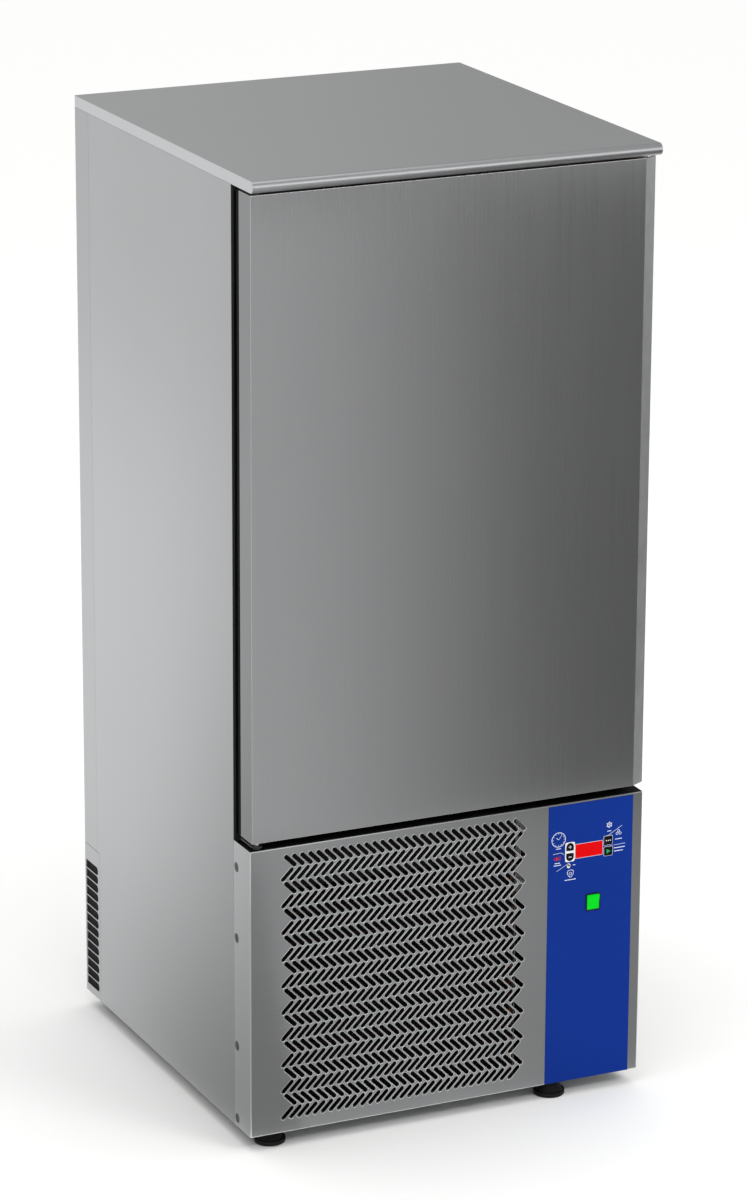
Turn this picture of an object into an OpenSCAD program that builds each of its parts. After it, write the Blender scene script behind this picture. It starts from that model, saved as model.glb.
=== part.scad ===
// Upright blast chiller: an insulated cabinet with one full-height door, a
// chamber with fifteen pairs of tray runners and three fans in front of the
// evaporator, and a machine compartment behind a herringbone grille.
// Origin: on the floor, under the middle of the outline. The door faces -Y,
// +X is to the right of a person who stands in front of it, +Z is up.

/* [Cabinet] */
// Width over the side panels
cabinet_w = 790; // [780:2:810]
// Depth from the worktop's front edge to the back panel
total_d = 820; // [810:5:850]
// Height from the floor to the top of the worktop
total_h = 1800; // [1780:5:1860]
// Height of the casing above the floor
foot_h = 30; // [28:1:40]
// Thickness of the casing's sheet steel
sheet_t = 1.2; // [1:0.1:1.5]
// Thickness of the insulated walls, both skins included
wall_t = 60; // [56:1:64]
// Thickness of the chamber's inner skin
liner_t = 1; // [0.8:0.1:1.2]
// Radius of the chamber's rear corners
corner_r = 15; // [10:1:20]
// Open seam between neighbouring panels of the casing
seam = 0.6; // [0.4:0.1:1]
// Depth of the back panel's folds along the sides
back_wrap = 65; // [50:1:70]

/* [Worktop] */
// Thickness of the worktop, twice the radius of its rounded front edge
worktop_t = 22; // [20:1:26]
// Overhang of the worktop in front of the door
nose_overhang = 12; // [11:1:16]
// Width of the fold under the rounded front edge
nose_flange = 16; // [12:1:24]

/* [Door] */
// Depth of the door's steel pan
door_pan_d = 50; // [48:1:54]
// Thickness of the door's black inner frame
door_frame_t = 10; // [8:1:12]
// Width of the bars of the door's inner frame
door_frame_w = 45; // [42:1:48]
// Thickness of the magnetic gasket
gasket_t = 11.7; // [10.7:0.5:12.7]
// Width of the magnetic gasket
gasket_w = 20; // [16:1:22]
// Distance from the door's edge to the gasket
gasket_inset = 20; // [18:1:22]
// Wall thickness of the gasket's hollow profile
gasket_wall = 2; // [1.5:0.1:3]
// Gap between the gasket and the cabinet's frame
seal_gap = 0.3; // [0.2:0.1:0.5]
// Thickness of the black frame round the chamber's mouth
front_frame_t = 11; // [9:1:13]
// Gap between the lower front panel and the door
door_gap_low = 18; // [17:1:22]
// Gap between the door and the worktop
door_gap_top = 10; // [9:1:14]
// Width of the slanted lip of the door's handle profile
bevel_w = 26; // [24:1:30]
// Depth of the slanted lip
bevel_d = 14; // [10:1:16]
// Depth of the finger recess behind the lip
grip_d = 24; // [18:1:24]
// Wall thickness of the handle profile
grip_wall = 5; // [4:0.5:6]
// Distance of the door's pivot from the side and from the front of the door
pivot_inset = 15; // [14:0.5:16]
// Diameter of the hinge pins
hinge_pin_d = 10; // [8:0.5:12]
// Length of the hinge pins inside the door
hinge_pin_l = 24; // [18:1:30]
// Wall thickness of the hinge bushes
bush_wall = 3; // [2:0.5:4]
// Thickness of the hinge brackets
bracket_t = 3; // [2:0.5:3.5]
// Depth of the raised field on the inside of the door
door_field_d = 16; // [12:1:18]

/* [Lower front panel] */
// Distance of the panel behind the door's front
lower_setback = 10; // [8:1:14]
// Height of the lower front panel
lower_panel_h = 551; // [545:1:560]
// Slots in one row of the herringbone grille
slot_cols = 30; // [10:1:30]
// Rows of the herringbone grille
slot_rows = 20; // [6:2:20]
// Distance between two rows
slot_pitch_z = 25.6; // [25.2:0.1:25.8]
// Distance between the centres of a slot's round ends
slot_l = 24; // [20:1:24.5]
// Width of a slot
slot_w = 8; // [6:0.5:8.5]
// Sideways shift of every second row
slot_shift = 6; // [4:0.5:8]
// Distance from the panel's left edge to the middle of the first slot
slot_margin_x = 79; // [70:1:82]
// Distance from the middle of a row's last slot to the control film
slot_margin_film = 58.8; // [56:0.1:62]
// Distance from the panel's top edge to the middle of the first row
slot_margin_z = 27.5; // [24:0.5:30]
// Diameter of the panel's quarter-turn fixings
fixing_d = 18; // [14:1:20]
// Distance of the fixings in front of the panel's rear edge
fixing_inset = 12; // [11:1:14]

/* [Controls] */
// Width of the printed control film
film_w = 174; // [160:1:180]
// Distance from the panel's right edge to the film
film_inset = 20; // [14:1:24]
// Thickness of the control film
film_t = 0.5; // [0.3:0.1:0.6]
// Width of the display window
display_w = 56; // [50:1:58]
// Height of the display window
display_h = 27; // [20:1:30]
// Width of the small keys
key_w = 15; // [12:0.5:16]
// Width of the square keys
key_sq = 17; // [14:0.5:18]
// Distance that a key travels when it is pressed
key_travel = 0.6; // [0.4:0.1:0.8]
// Clearance all round a key
key_gap = 0.3; // [0.2:0.1:0.5]
// Width of the mains rocker switch's face
rocker_w = 24; // [20:0.5:26]
// Radius from the rocker's pivot to its ends
rocker_r = 14.6; // [13:0.1:15.5]
// Angle between the rocker's two positions
rocker_throw = 14; // [10:1:16]

/* [Rear vent] */
// Height of the vent panel's top edge above the casing's underside
vent_h = 305; // [295:5:330]
// Depth of the vent panel's folds along the sides
vent_wrap = 75; // [70:1:90]
// Ventilation slots one above the other
vent_slots = 14; // [6:1:14]
// Distance between the ventilation slots
vent_pitch = 18.5; // [17:0.5:19]
// Height of a ventilation slot
vent_slot_h = 14.9; // [12:0.1:15.2]
// Length of the slots along the side, from the rear corner
vent_slot_side = 66; // [50:1:68]
// Length of the slots along the back, from the rear corner
vent_slot_back = 46; // [30:1:60]
// Height of the lowest slot above the casing's underside
vent_slot_z = 16; // [14:1:20]

/* [Chamber] */
// Pairs of tray runners
runner_pairs = 15; // [8:1:15]
// Height of the lowest runner above the chamber's floor
runner_z = 60; // [40:1:70]
// Distance from the highest runner to the chamber's ceiling
runner_top = 91; // [84:1:110]
// Distance between the runners' ends and the chamber's mouth and fan panel
runner_end_gap = 15; // [10:1:20]
// Distance from the chamber's side walls to the runner tips
runner_reach = 45; // [40:1:52]
// Thickness of the runners and of the rack posts
runner_t = 1.5; // [1:0.1:2]
// Height of the runner's fold
runner_leg = 18; // [12:1:24]
// Depth of the rack posts, from the chamber wall
post_d = 12; // [10:1:16]
// Width of the rack posts
post_w = 28; // [20:1:34]
// Distance from the fan panel to the chamber's rear wall
fan_panel_gap = 230; // [225:1:240]
// Thickness of the fan panel
fan_panel_t = 1.5; // [1:0.1:2]
// Diameter of the evaporator fans, as a share of the distance between them
evap_fan_share = 0.75; // [0.65:0.01:0.76]
// Distance from the chamber's floor and ceiling to the nearest fan's axis
fan_margin = 217.5; // [205:2.5:230]
// Gap between a fan's blades and its opening
blade_gap = 7; // [5:1:10]
// Depth of the evaporator block
evap_d = 80; // [70:1:85]
// Distance from the chamber's side walls to the evaporator block
evap_side = 85; // [82:1:110]
// Outer diameter of the coil tubes
tube_d = 12; // [9:0.5:14]

/* [Machine compartment] */
// Width of the condenser block
cond_w = 470; // [420:5:480]
// Height of the condenser block
cond_h = 440; // [400:5:490]
// Depth of the condenser block
cond_d = 58; // [50:1:60]
// Diameter of the condenser fan
cond_fan_d = 300; // [250:5:320]
// Diameter of the compressor's shell
compressor_d = 190; // [170:2:200]
// Height of the compressor's shell
compressor_h = 230; // [200:5:250]
// Diameter of the feet
foot_d = 58; // [50:1:64]
// Diameter of the threaded stud of a foot
stud_d = 10; // [8:1:12]
// Outer diameter of the drain pipe
drain_d = 28; // [22:1:32]
// Bore of the mains cable's gland
gland_bore = 13; // [10:0.5:14]

/* [Hidden] */
$fn = 48;

// Clearances
run_gap = 0.05;      // radial, round a pin or a shaft that turns
fit_gap = 0.3;       // between pieces that are set against each other
mitre_gap = 0.1;     // at the mitred corners of frames and gaskets
over = 1;            // how far a cut runs past a face

// Planes from side to side
x_side = cabinet_w / 2;
x_in = x_side - wall_t;
x_skin = x_side - sheet_t;
x_bevel = x_side - bevel_w;

// Planes from front to back
y_nose = -total_d / 2;
y_back = total_d / 2;
y_door = y_nose + nose_overhang;
y_lower = y_door + lower_setback;
y_pan = y_door + door_pan_d;
y_gasket = y_pan + door_frame_t;
y_frame = y_gasket + gasket_t + seal_gap;
y_side = y_frame + front_frame_t;
y_in = y_back - wall_t;
y_fan = y_in - fan_panel_gap;
y_panel_in = y_lower + sheet_t;

// Planes from the floor up
z_case = foot_h;
z_lower = z_case + lower_panel_h;
z_box = z_lower + 2;
z_door0 = z_lower + door_gap_low;
z_top = total_h - worktop_t;
z_door1 = z_top - door_gap_top;
z_in0 = z_box + wall_t;
z_in1 = z_top - wall_t;
z_mid = (z_in0 + z_in1) / 2;
z_vent = z_case + vent_h;

// Base and feet
base_t = 2;
base_edge = 25;
z_base = z_case + sheet_t;
z_deck = z_base + base_t;
x_base = x_skin - sheet_t - fit_gap;
y_base0 = y_panel_in + base_t;
y_base1 = y_back - sheet_t - fit_gap;
foot_bush_h = 22;
foot_bush_wall = 7;
foot_pad_h = 9;
foot_hub_d = 30;
foot_left = [-x_side + 55, y_lower + 40];
foot_right = [x_side - 170, y_lower + 28];
foot_rear_l = [-x_side + 55, y_back - 60];
foot_rear_r = [x_side - 55, y_back - 60];
FEET = [foot_left, foot_right, foot_rear_l, foot_rear_r];

// Door pivot
x_pivot = -x_side + pivot_inset;
y_pivot = y_door + pivot_inset;
bush_r = hinge_pin_d / 2 + run_gap + bush_wall;
bush_l = hinge_pin_l + 2;
shoulder_r = bush_r - 0.5;

// Controls: centres on the front panel, x and z
film_x1 = x_side - film_inset;
film_x0 = film_x1 - film_w;
slot_pitch_x = (film_x0 - slot_margin_film + x_side - slot_margin_x) / (slot_cols - 1);
y_film = y_lower - film_t;
panel_z = function(from_top) z_lower - from_top;
display_at = [film_x0 + 84, panel_z(97)];
plate_at = [film_x0 + 44.7, panel_z(96)];
plate_size = [20, 38];
key_up_at = plate_at + [0, 10];
key_down_at = plate_at - [0, 10];
key_h = 14.5;
key_set_at = [film_x0 + 123.5, panel_z(85)];
key_start_at = [film_x0 + 124, panel_z(106)];
rocker_at = [film_x0 + 94, panel_z(201)];
key_proud = 0.9;
key_tail = 2;
controller_size = [140, 34, 84];
controller_x = film_x0 + 14;
controller_z = panel_z(138);

// Chamber fittings
x_tip = x_in - runner_reach;
x_post = x_in - post_d;
runner_y0 = y_side + runner_end_gap;
runner_l = y_fan - runner_end_gap - runner_y0;
runner_pitch = (z_in1 - z_in0 - runner_z - runner_top) / (runner_pairs - 1);
POST_Y = [y_side + 50, y_side + runner_l - 60];
evap_fan_pitch = (z_in1 - z_in0) / 2 - fan_margin;
evap_fan_d = evap_fan_share * evap_fan_pitch;
evap_motor_l = 55;
fan_z = function(i) z_mid + (i - 1) * evap_fan_pitch;
fan_hub_r = 35;
fan_shaft_r = 4;
fan_depth = 32;
fan_back_gap = 4;
evap_y1 = y_in - 15;
evap_y0 = evap_y1 - evap_d;
evap_w = 2 * (x_in - evap_side);

// Machine compartment
cond_x0 = -x_side + 65;
cond_y0 = y_panel_in + 8;
cond_z0 = z_deck + 20;
cond_c = [cond_x0 + cond_w / 2, cond_z0 + cond_h / 2];
cond_y1 = cond_y0 + cond_d;
shroud_d = 24;
y_shroud = cond_y1 + shroud_d;
comp_at = [-x_side + 265, y_back - 300];
grommet_h = 14;
comp_z = z_deck + grommet_h;
drain_at = [-x_in + 60, y_in - 60];
gland_at = [x_side - 120, y_back - 50];
receiver_at = [x_side - 245, y_back - 530];
receiver_r = 50;
receiver_h = 260;
pipe_r = 5;
pipe_out = 30;
terminal = [32, 56, 50];
cond_motor_l = 70;
electrical_w_gap = 45;
electrical_gap = 13;
electrical_x0 = max(film_x0 + 20, cond_x0 + cond_w + pipe_out + pipe_r + electrical_gap);
electrical_d = 150;
electrical_h = 300;

// ---------------------------------------------------------------- helpers

// A flat shape given in x and z, made thick along Y from y0
module xz(y0, t) {
    translate([0, y0 + t, 0]) rotate([90, 0, 0]) linear_extrude(t) children();
}

// A flat shape given in y and z, made thick along X from x0
module yz(x0, t) {
    translate([x0, 0, 0]) rotate([90, 0, 90]) linear_extrude(t) children();
}

// A flat shape given in x and y, made thick along Z from z0
module xy(z0, t) {
    translate([0, 0, z0]) linear_extrude(t) children();
}

// A box from its low corner to its high corner
module block(a, b) {
    translate(a) cube(b - a);
}

// A rectangle from its low corner to its high corner
module rect(a, b) {
    translate(a) square(b - a);
}

// A round rod along Y, from y0 over the length l
module rod_y(x, z, y0, l, r) {
    translate([x, y0, z]) rotate([-90, 0, 0]) cylinder(h = l, r = r);
}

// A round rod along X, from x0 over the length l
module rod_x(y, z, x0, l, r) {
    translate([x0, y, z]) rotate([0, 90, 0]) cylinder(h = l, r = r);
}

// A rectangle with four round corners, about its centre
module round_rect(size, r) {
    square([size.x - 2 * r, size.y], center = true);
    square([size.x, size.y - 2 * r], center = true);
    for (sx = [-1, 1], sy = [-1, 1])
        translate([sx * (size.x / 2 - r), sy * (size.y / 2 - r)]) circle(r = r);
}

// A slot with round ends, l between the ends' centres, along its own x
module slot_2d(l, w) {
    square([l, w], center = true);
    for (s = [-1, 1]) translate([s * l / 2, 0]) circle(d = w, $fn = 24);
}

// Four mitred bars round a rectangle a..b, w wide, drawn one by one
module mitred_bar(i, a, b, w) {
    g = mitre_gap;
    if (i == 0) polygon([[a.x + g, a.y], [b.x - g, a.y], [b.x - w - g, a.y + w], [a.x + w + g, a.y + w]]);
    if (i == 1) polygon([[a.x + g, b.y], [a.x + w + g, b.y - w], [b.x - w - g, b.y - w], [b.x - g, b.y]]);
    if (i == 2) polygon([[a.x, a.y + g], [a.x + w, a.y + w + g], [a.x + w, b.y - w - g], [a.x, b.y - g]]);
    if (i == 3) polygon([[b.x, a.y + g], [b.x, b.y - g], [b.x - w, b.y - w - g], [b.x - w, a.y + w + g]]);
}

// --------------------------------------------------------------- casing

// The side panel's outline in y and z, stepped round the rear panels' folds
module side_outline() {
    y_low = y_back - vent_wrap - seam;
    y_high = y_back - back_wrap - seam;
    polygon([
        [y_side, z_case], [y_low, z_case], [y_low, z_vent + seam],
        [y_high, z_vent + seam], [y_high, z_top], [y_side, z_top]
    ]);
}

// Heights of the quarter-turn fixings of the lower front panel
FIXING_Z = [z_case + 16, z_case + 158, z_lower - 184, z_lower - 48];
y_fixing = y_side - seam - fixing_inset;
fixing_shank_r = 4;
fixing_l = 14;

module left_side_panel() {
    strip_d = 30;
    color("gainsboro") difference() {
        union() {
            yz(-x_side, sheet_t) side_outline();
            // Fold behind the black frame
            block([-x_skin, y_side, z_box + sheet_t + fit_gap], [-x_side + 15, y_side + sheet_t, z_top]);
            // Fold that the base stands on
            block([-x_skin, y_side, z_case], [-x_side + 20, y_back - vent_wrap - seam, z_base]);
            // Strip behind the lower panel's return, for its fixings
            block([-x_skin, y_side - strip_d, z_case + 5], [-x_skin + sheet_t, y_side + 10, z_lower - 5]);
        }
        for (z = FIXING_Z) rod_x(y_fixing, z, -x_side - over, 2 * over + 3 * sheet_t, fixing_shank_r + 0.2);
    }
}

module right_side_panel() {
    mirror([1, 0, 0]) left_side_panel();
}

module back_panel() {
    z0 = z_vent + seam;
    color("silver") union() {
        xz(y_back - sheet_t, sheet_t) rect([-x_side, z0], [x_side, z_top]);
        for (s = [0, 1]) mirror([s, 0, 0]) {
            block([-x_side, y_back - back_wrap, z0], [-x_skin, y_back, z_top]);
            // Joggled edge that lies inside the side panel
            block([-x_skin, y_back - back_wrap - 12, z0], [-x_skin + sheet_t, y_back - back_wrap + 8, z_top]);
        }
    }
}

// The vent panel: a U over both rear corners, with slots that run round them
module rear_vent_panel() {
    r = vent_slot_h / 2;
    z0 = z_case + vent_slot_z;
    color("silver") difference() {
        union() {
            xz(y_back - sheet_t, sheet_t) rect([-x_side, z_case], [x_side, z_vent]);
            for (s = [0, 1]) mirror([s, 0, 0]) {
                block([-x_side, y_back - vent_wrap, z_case], [-x_skin, y_back, z_vent]);
                block([-x_skin, y_back - vent_wrap - 10, z_base],
                      [-x_skin + sheet_t, y_back - vent_wrap + 5, z_vent]);
            }
        }
        for (s = [0, 1], i = [0:vent_slots - 1]) mirror([s, 0, 0]) translate([0, 0, z0 + i * vent_pitch]) {
            yz(-x_side - over, sheet_t + 2 * over) {
                rect([y_back - vent_slot_side + r, 0], [y_back + over, vent_slot_h]);
                translate([y_back - vent_slot_side + r, r]) circle(r = r);
            }
            xz(y_back - sheet_t - over, sheet_t + 2 * over) {
                rect([-x_side - over, 0], [-x_side + vent_slot_back - r, vent_slot_h]);
                translate([-x_side + vent_slot_back - r, r]) circle(r = r);
            }
        }
        // Outlet slots of the machine compartment
        xz(y_back - sheet_t - over, sheet_t + 2 * over)
            for (i = [0:2:vent_slots - 1], c = [-1.5:1:1.5])
                translate([c * 150, z0 + i * vent_pitch + r]) slot_2d(110, vent_slot_h * 0.6);
    }
}

// ---------------------------------------------------------------- worktop

// Worktop section in y and z, shrunk by t all round
module worktop_section(t) {
    r = worktop_t / 2;
    translate([y_nose + r, z_top + r]) circle(r = r - t);
    rect([y_nose + r, z_top + t], [y_back - t, total_h - t]);
}

module worktop_skin() {
    r = worktop_t / 2;
    color("lightgray") difference() {
        yz(-x_side, cabinet_w) worktop_section(0);
        yz(-x_skin, 2 * x_skin) worktop_section(sheet_t);
        block([-x_skin, y_nose + r + nose_flange, z_top - over],
              [x_skin, y_back - sheet_t, z_top + 2 * sheet_t]);
    }
}

module worktop_core() {
    color("burlywood") block([-x_skin, y_nose + worktop_t / 2, z_top + sheet_t],
                             [x_skin, y_back - sheet_t, total_h - sheet_t]);
}

// ------------------------------------------------------------------- base

module base_frame() {
    color("darkgray") difference() {
        union() {
            block([-x_base, y_base0, z_base], [x_base, y_base1, z_base + base_edge]);
            for (p = FEET) translate([p.x, p.y, z_base])
                cylinder(h = foot_bush_h, r = stud_d / 2 + foot_bush_wall);
        }
        difference() {
            block([-x_base + base_t, y_base0 + base_t, z_deck],
                  [x_base - base_t, y_base1 - base_t, z_base + base_edge + over]);
            for (p = FEET) translate([p.x, p.y, z_base])
                cylinder(h = foot_bush_h, r = stud_d / 2 + foot_bush_wall);
        }
        for (p = FEET) translate([p.x, p.y, z_base - over])
            cylinder(h = foot_bush_h + 2 * over, r = stud_d / 2 + run_gap);
        translate([drain_at.x, drain_at.y, z_base - over])
            cylinder(h = base_t + 2 * over, r = drain_d / 2 + fit_gap);
        translate([gland_at.x, gland_at.y, z_base - over])
            cylinder(h = base_t + 2 * over, r = gland_bore / 2 + 3);
        // Clearance for the lowest fixings of the front panel
        rod_x(y_fixing, FIXING_Z[0], -x_side, cabinet_w, fixing_shank_r + 0.5);
    }
}

// Angle posts between the base and the insulated box
module frame_posts() {
    leg = 32;
    inset = base_t;
    for (s = [0, 1], y = [y_side + 20, y_base1 - base_t - leg]) mirror([s, 0, 0])
        color("darkgray") translate([-x_base + inset, y, z_deck]) difference() {
            cube([leg, leg, z_box - z_deck]);
            translate([base_t, base_t, -over]) cube([leg, leg, z_box - z_deck + 2 * over]);
        }
}

// Holes for the drain and for the pipes up to the evaporator
PIPE_UP = [[evap_w / 2 + 35, (evap_y0 + evap_y1) / 2], [evap_w / 2 + 57, (evap_y0 + evap_y1) / 2]];

module service_holes(z0, h, gap) {
    translate([drain_at.x, drain_at.y, z0]) cylinder(h = h, r = drain_d / 2 + gap);
    for (p = PIPE_UP) translate([p.x, p.y, z0]) cylinder(h = h, r = pipe_r + gap);
}

module insulation_base_panel() {
    color("darkgray") difference() {
        block([-x_base, y_side, z_box], [x_base, y_back - sheet_t, z_box + sheet_t]);
        service_holes(z_box - over, sheet_t + 2 * over, fit_gap);
    }
}

// ---------------------------------------------------------------- chamber

// Plan of the chamber, grown by t: square at the mouth, round at the rear
module chamber_plan(t) {
    r = corner_r + t;
    rect([-x_in - t, y_side], [x_in + t, y_in - corner_r]);
    rect([-x_in + corner_r, y_in - corner_r], [x_in - corner_r, y_in + t]);
    for (s = [-1, 1]) translate([s * (x_in - corner_r), y_in - corner_r]) circle(r = r);
}

module chamber_liner() {
    color("whitesmoke") difference() {
        xy(z_in0 - liner_t, z_in1 - z_in0 + 2 * liner_t) chamber_plan(liner_t);
        xy(z_in0, z_in1 - z_in0) chamber_plan(0);
        block([-x_in, y_side - over, z_in0], [x_in, y_side + over, z_in1]);
        service_holes(z_in0 - liner_t - over, liner_t + 2 * over, fit_gap);
        rod_x(probe_at.x, probe_at.y, x_in - over, liner_t + 2 * over, probe_r + fit_gap);
    }
}

module cabinet_foam() {
    z0 = z_box + sheet_t;
    color("khaki") difference() {
        block([-x_skin, y_side + sheet_t, z0], [x_skin, y_back - sheet_t, z_top]);
        xy(z_in0 - liner_t, z_in1 - z_in0 + 2 * liner_t) chamber_plan(liner_t);
        service_holes(z0 - over, wall_t + over, fit_gap);
        // Room for the back panel's joggled edges
        for (s = [0, 1]) mirror([s, 0, 0])
            block([-x_side, y_back - back_wrap - 13, z_vent],
                  [-x_skin + sheet_t, y_back - back_wrap + 9, z_top + over]);
        // Pocket of the probe's gland
        rod_x(probe_at.x, probe_at.y, x_in, probe_l, probe_r + fit_gap);
    }
}

// Black frame of the chamber's mouth, four bars with mitred corners
module front_frame() {
    color([0.06, 0.06, 0.06]) for (i = [0:3]) difference() {
        xz(y_frame, front_frame_t) mitred_bar(i, [-x_side, z_box], [x_side, z_top], wall_t);
        // Pocket of the door switch
        if (i == 1) block(switch_lo - [fit_gap, over, fit_gap], switch_hi + [fit_gap, 0, fit_gap]);
    }
}

// Two channel posts at each side, on the chamber wall
module rack_posts() {
    z0 = z_in0 + 30;
    z1 = z_in1 - 30;
    color("silver") for (s = [0, 1], y = POST_Y) mirror([s, 0, 0]) difference() {
        block([-x_in, y, z0], [-x_post, y + post_w, z1]);
        block([-x_in - over, y + runner_t, z0 - over],
              [-x_post - runner_t, y + post_w - runner_t, z1 + over]);
    }
}

// Folded runners: a shelf for the tray with its fold hanging at the post
module rack_runners() {
    color("silver") for (s = [0, 1], i = [0:runner_pairs - 1]) mirror([s, 0, 0]) {
        z = z_in0 + runner_z + i * runner_pitch;
        translate([0, runner_y0 + runner_l, 0]) rotate([90, 0, 0]) linear_extrude(runner_l)
            polygon([
                [-x_post, z], [-x_post, z - runner_leg], [-x_post + runner_t, z - runner_leg],
                [-x_post + runner_t, z - runner_t], [-x_tip - runner_t, z - runner_t],
                [-x_tip - runner_t, z - 2 * runner_t - 1], [-x_tip, z - 2 * runner_t - 1], [-x_tip, z]
            ]);
    }
}

// ------------------------------------------------------------- evaporator

// A finned block: upright plates on level tubes, with two end plates
module finned_coil(at, size, fins, tubes, plate_t) {
    fin_t = 0.8;
    step = (size.x - 2 * plate_t) / (fins + 1);
    r = tube_d / 2;
    translate(at) union() {
        for (s = [0, size.x - plate_t]) translate([s, 0, 0]) cube([plate_t, size.y, size.z]);
        for (i = [1:fins]) translate([plate_t + i * step - fin_t / 2, 3, 4])
            cube([fin_t, size.y - 6, size.z - 8]);
        for (i = [0:tubes - 1]) rod_x(size.y / 2, (i + 0.5) * size.z / tubes, -12, size.x + 24, r);
    }
}

evap_h = z_in1 - z_in0 - 160;

module evaporator_coil() {
    h = evap_h;
    color("lightsteelblue") union() {
        finned_coil([-evap_w / 2, evap_y0, z_mid - h / 2], [evap_w, evap_d, h], 20, 10, 2);
        // Feet that hold the block on the rear wall
        for (s = [-1, 1], z = [z_mid - h / 2 + 20, z_mid + h / 2 - 50])
            block([s * evap_w / 2 - 10, evap_y1 - 1, z], [s * evap_w / 2 + 10, y_in, z + 30]);
    }
}

module evaporator_fan_panel() {
    z0 = z_in0 + 20;
    z1 = z_in1 - 20;
    fold = 25;
    x1 = x_in - fit_gap;
    return_step = (z1 - z0 - 180) / 5;
    color("gainsboro") union() {
        xz(y_fan, fan_panel_t) difference() {
            rect([-x1, z0], [x1, z1]);
            for (i = [0:2]) translate([0, fan_z(i)]) circle(d = evap_fan_d + 2 * blade_gap, $fn = 96);
            // Air returns along both sides
            for (s = [-1, 1], i = [0:5]) translate([s * (x1 - 45), z0 + 90 + i * return_step]) rotate(90)
                slot_2d(return_step - 61, 26);
        }
        for (s = [0, 1]) mirror([s, 0, 0]) block([-x1, y_fan, z0], [-x1 + fan_panel_t, y_fan + fold, z1]);
        for (z = [z0, z1 - fan_panel_t]) block([-x1, y_fan, z], [x1, y_fan + fold, z + fan_panel_t]);
    }
}

// A flat guard: rings on four arms, with a plate in the middle
module fan_guard(d, y0, at) {
    ring_w = 3;
    rings = 6;
    t = 3;
    rim = d / 2 + 14;
    stand = 9;
    union() {
        xz(y0 - stand, t) translate(at) {
            for (i = [1:rings]) difference() {
                circle(r = rim * i / rings, $fn = 96);
                circle(r = rim * i / rings - ring_w, $fn = 96);
            }
            for (a = [0:45:135]) rotate(a + 22.5) square([2 * rim - ring_w, ring_w], center = true);
        }
        for (a = [22.5:90:292.5])
            rod_y(at.x + (rim - 5) * cos(a), at.y + (rim - 5) * sin(a), y0 - stand + t / 2, stand - t / 2, 4);
    }
}

module evaporator_fan_guards() {
    color([0.1, 0.1, 0.1]) for (i = [0:2]) fan_guard(evap_fan_d, y_fan, [0, fan_z(i)]);
}

// A fan: hub with a blind bore and blades cut from slanted, curved strips
module fan_rotor(d, at, y0, blades) {
    tip = d / 2;
    chord = d * 0.26;
    color([0.12, 0.12, 0.13]) translate([at.x, y0, at.y]) rotate([-90, 0, 0]) difference() {
        union() {
            cylinder(h = fan_depth, r = fan_hub_r);
            intersection() {
                cylinder(h = fan_depth, r = tip, $fn = 96);
                for (k = [0:blades - 1]) rotate(k * 360 / blades)
                    translate([fan_hub_r - 6, 0, fan_depth / 2]) rotate([90, 0, 90]) linear_extrude(tip)
                        rotate(32) difference() {
                            intersection() {
                                translate([0, -chord]) circle(r = chord + 1.4);
                                square([chord, fan_depth], center = true);
                            }
                            translate([0, -chord]) circle(r = chord - 1.2);
                        }
            }
        }
        translate([0, 0, 10]) cylinder(h = fan_depth, r = fan_shaft_r + run_gap);
    }
}

module evaporator_fan_1() { fan_rotor(evap_fan_d, [0, fan_z(0)], y_fan + 6, 5); }
module evaporator_fan_2() { fan_rotor(evap_fan_d, [0, fan_z(1)], y_fan + 6, 5); }
module evaporator_fan_3() { fan_rotor(evap_fan_d, [0, fan_z(2)], y_fan + 6, 5); }

// A motor behind its fan, on four bent arms that reach forward to y_seat
module fan_motor(at, y0, l, arm_r, y_seat) {
    arm_w = 14;
    arm_t = 3;
    union() {
        rod_y(at.x, at.y, y0, l, 44);
        rod_y(at.x, at.y, y0 + l - over, 4 + over, 30);
        rod_y(at.x, at.y, y0 - 18, 18 + over, fan_shaft_r);
        for (a = [45:90:315]) translate([at.x, 0, at.y]) rotate([0, -a, 0]) {
            block([30, y0 + 4, -arm_w / 2], [arm_r, y0 + 4 + arm_t, arm_w / 2]);
            block([arm_r - arm_t, y_seat, -arm_w / 2], [arm_r, y0 + 4 + arm_t, arm_w / 2]);
            block([arm_r - 2 * arm_t, y_seat, -arm_w / 2], [arm_r, y_seat + arm_t, arm_w / 2]);
        }
    }
}

module evaporator_fan_motors() {
    y0 = y_fan + 6 + fan_depth + fan_back_gap;
    color("dimgray") for (i = [0:2])
        fan_motor([0, fan_z(i)], y0, evap_motor_l, evap_fan_d / 2 + blade_gap + 14, y_fan + fan_panel_t);
}

// ------------------------------------------------------ drain and glands

drain_end = 18;
drain_wall = 3;
spigot_l = 16;

module drain_pipe() {
    z0 = z_case - drain_end;
    color("dimgray") translate([drain_at.x, drain_at.y, 0]) difference() {
        union() {
            // Turned-down end that a hose is pushed over
            translate([0, 0, z0]) cylinder(h = spigot_l + over, r = drain_d / 2 - drain_wall / 2);
            translate([0, 0, z0 + spigot_l]) cylinder(h = z_in0 - z0 - spigot_l, r = drain_d / 2);
            translate([0, 0, z_in0]) cylinder(h = 2, r = drain_d / 2 + 8);
        }
        translate([0, 0, z0 - over]) cylinder(h = z_in0 - z0 + 4 * over, r = drain_d / 2 - drain_wall);
    }
}

module mains_cable_gland() {
    r = gland_bore / 2;
    color([0.1, 0.1, 0.1]) translate([gland_at.x, gland_at.y, 0]) difference() {
        union() {
            translate([0, 0, z_base - 14]) cylinder(h = 14, r = r + 7, $fn = 6);
            translate([0, 0, z_base - over]) cylinder(h = base_t + 12, r = r + 3 - run_gap);
            translate([0, 0, z_deck]) cylinder(h = 6, r = r + 7, $fn = 6);
        }
        translate([0, 0, z_base - 14 - over]) cylinder(h = 40, r = r);
    }
}

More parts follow.
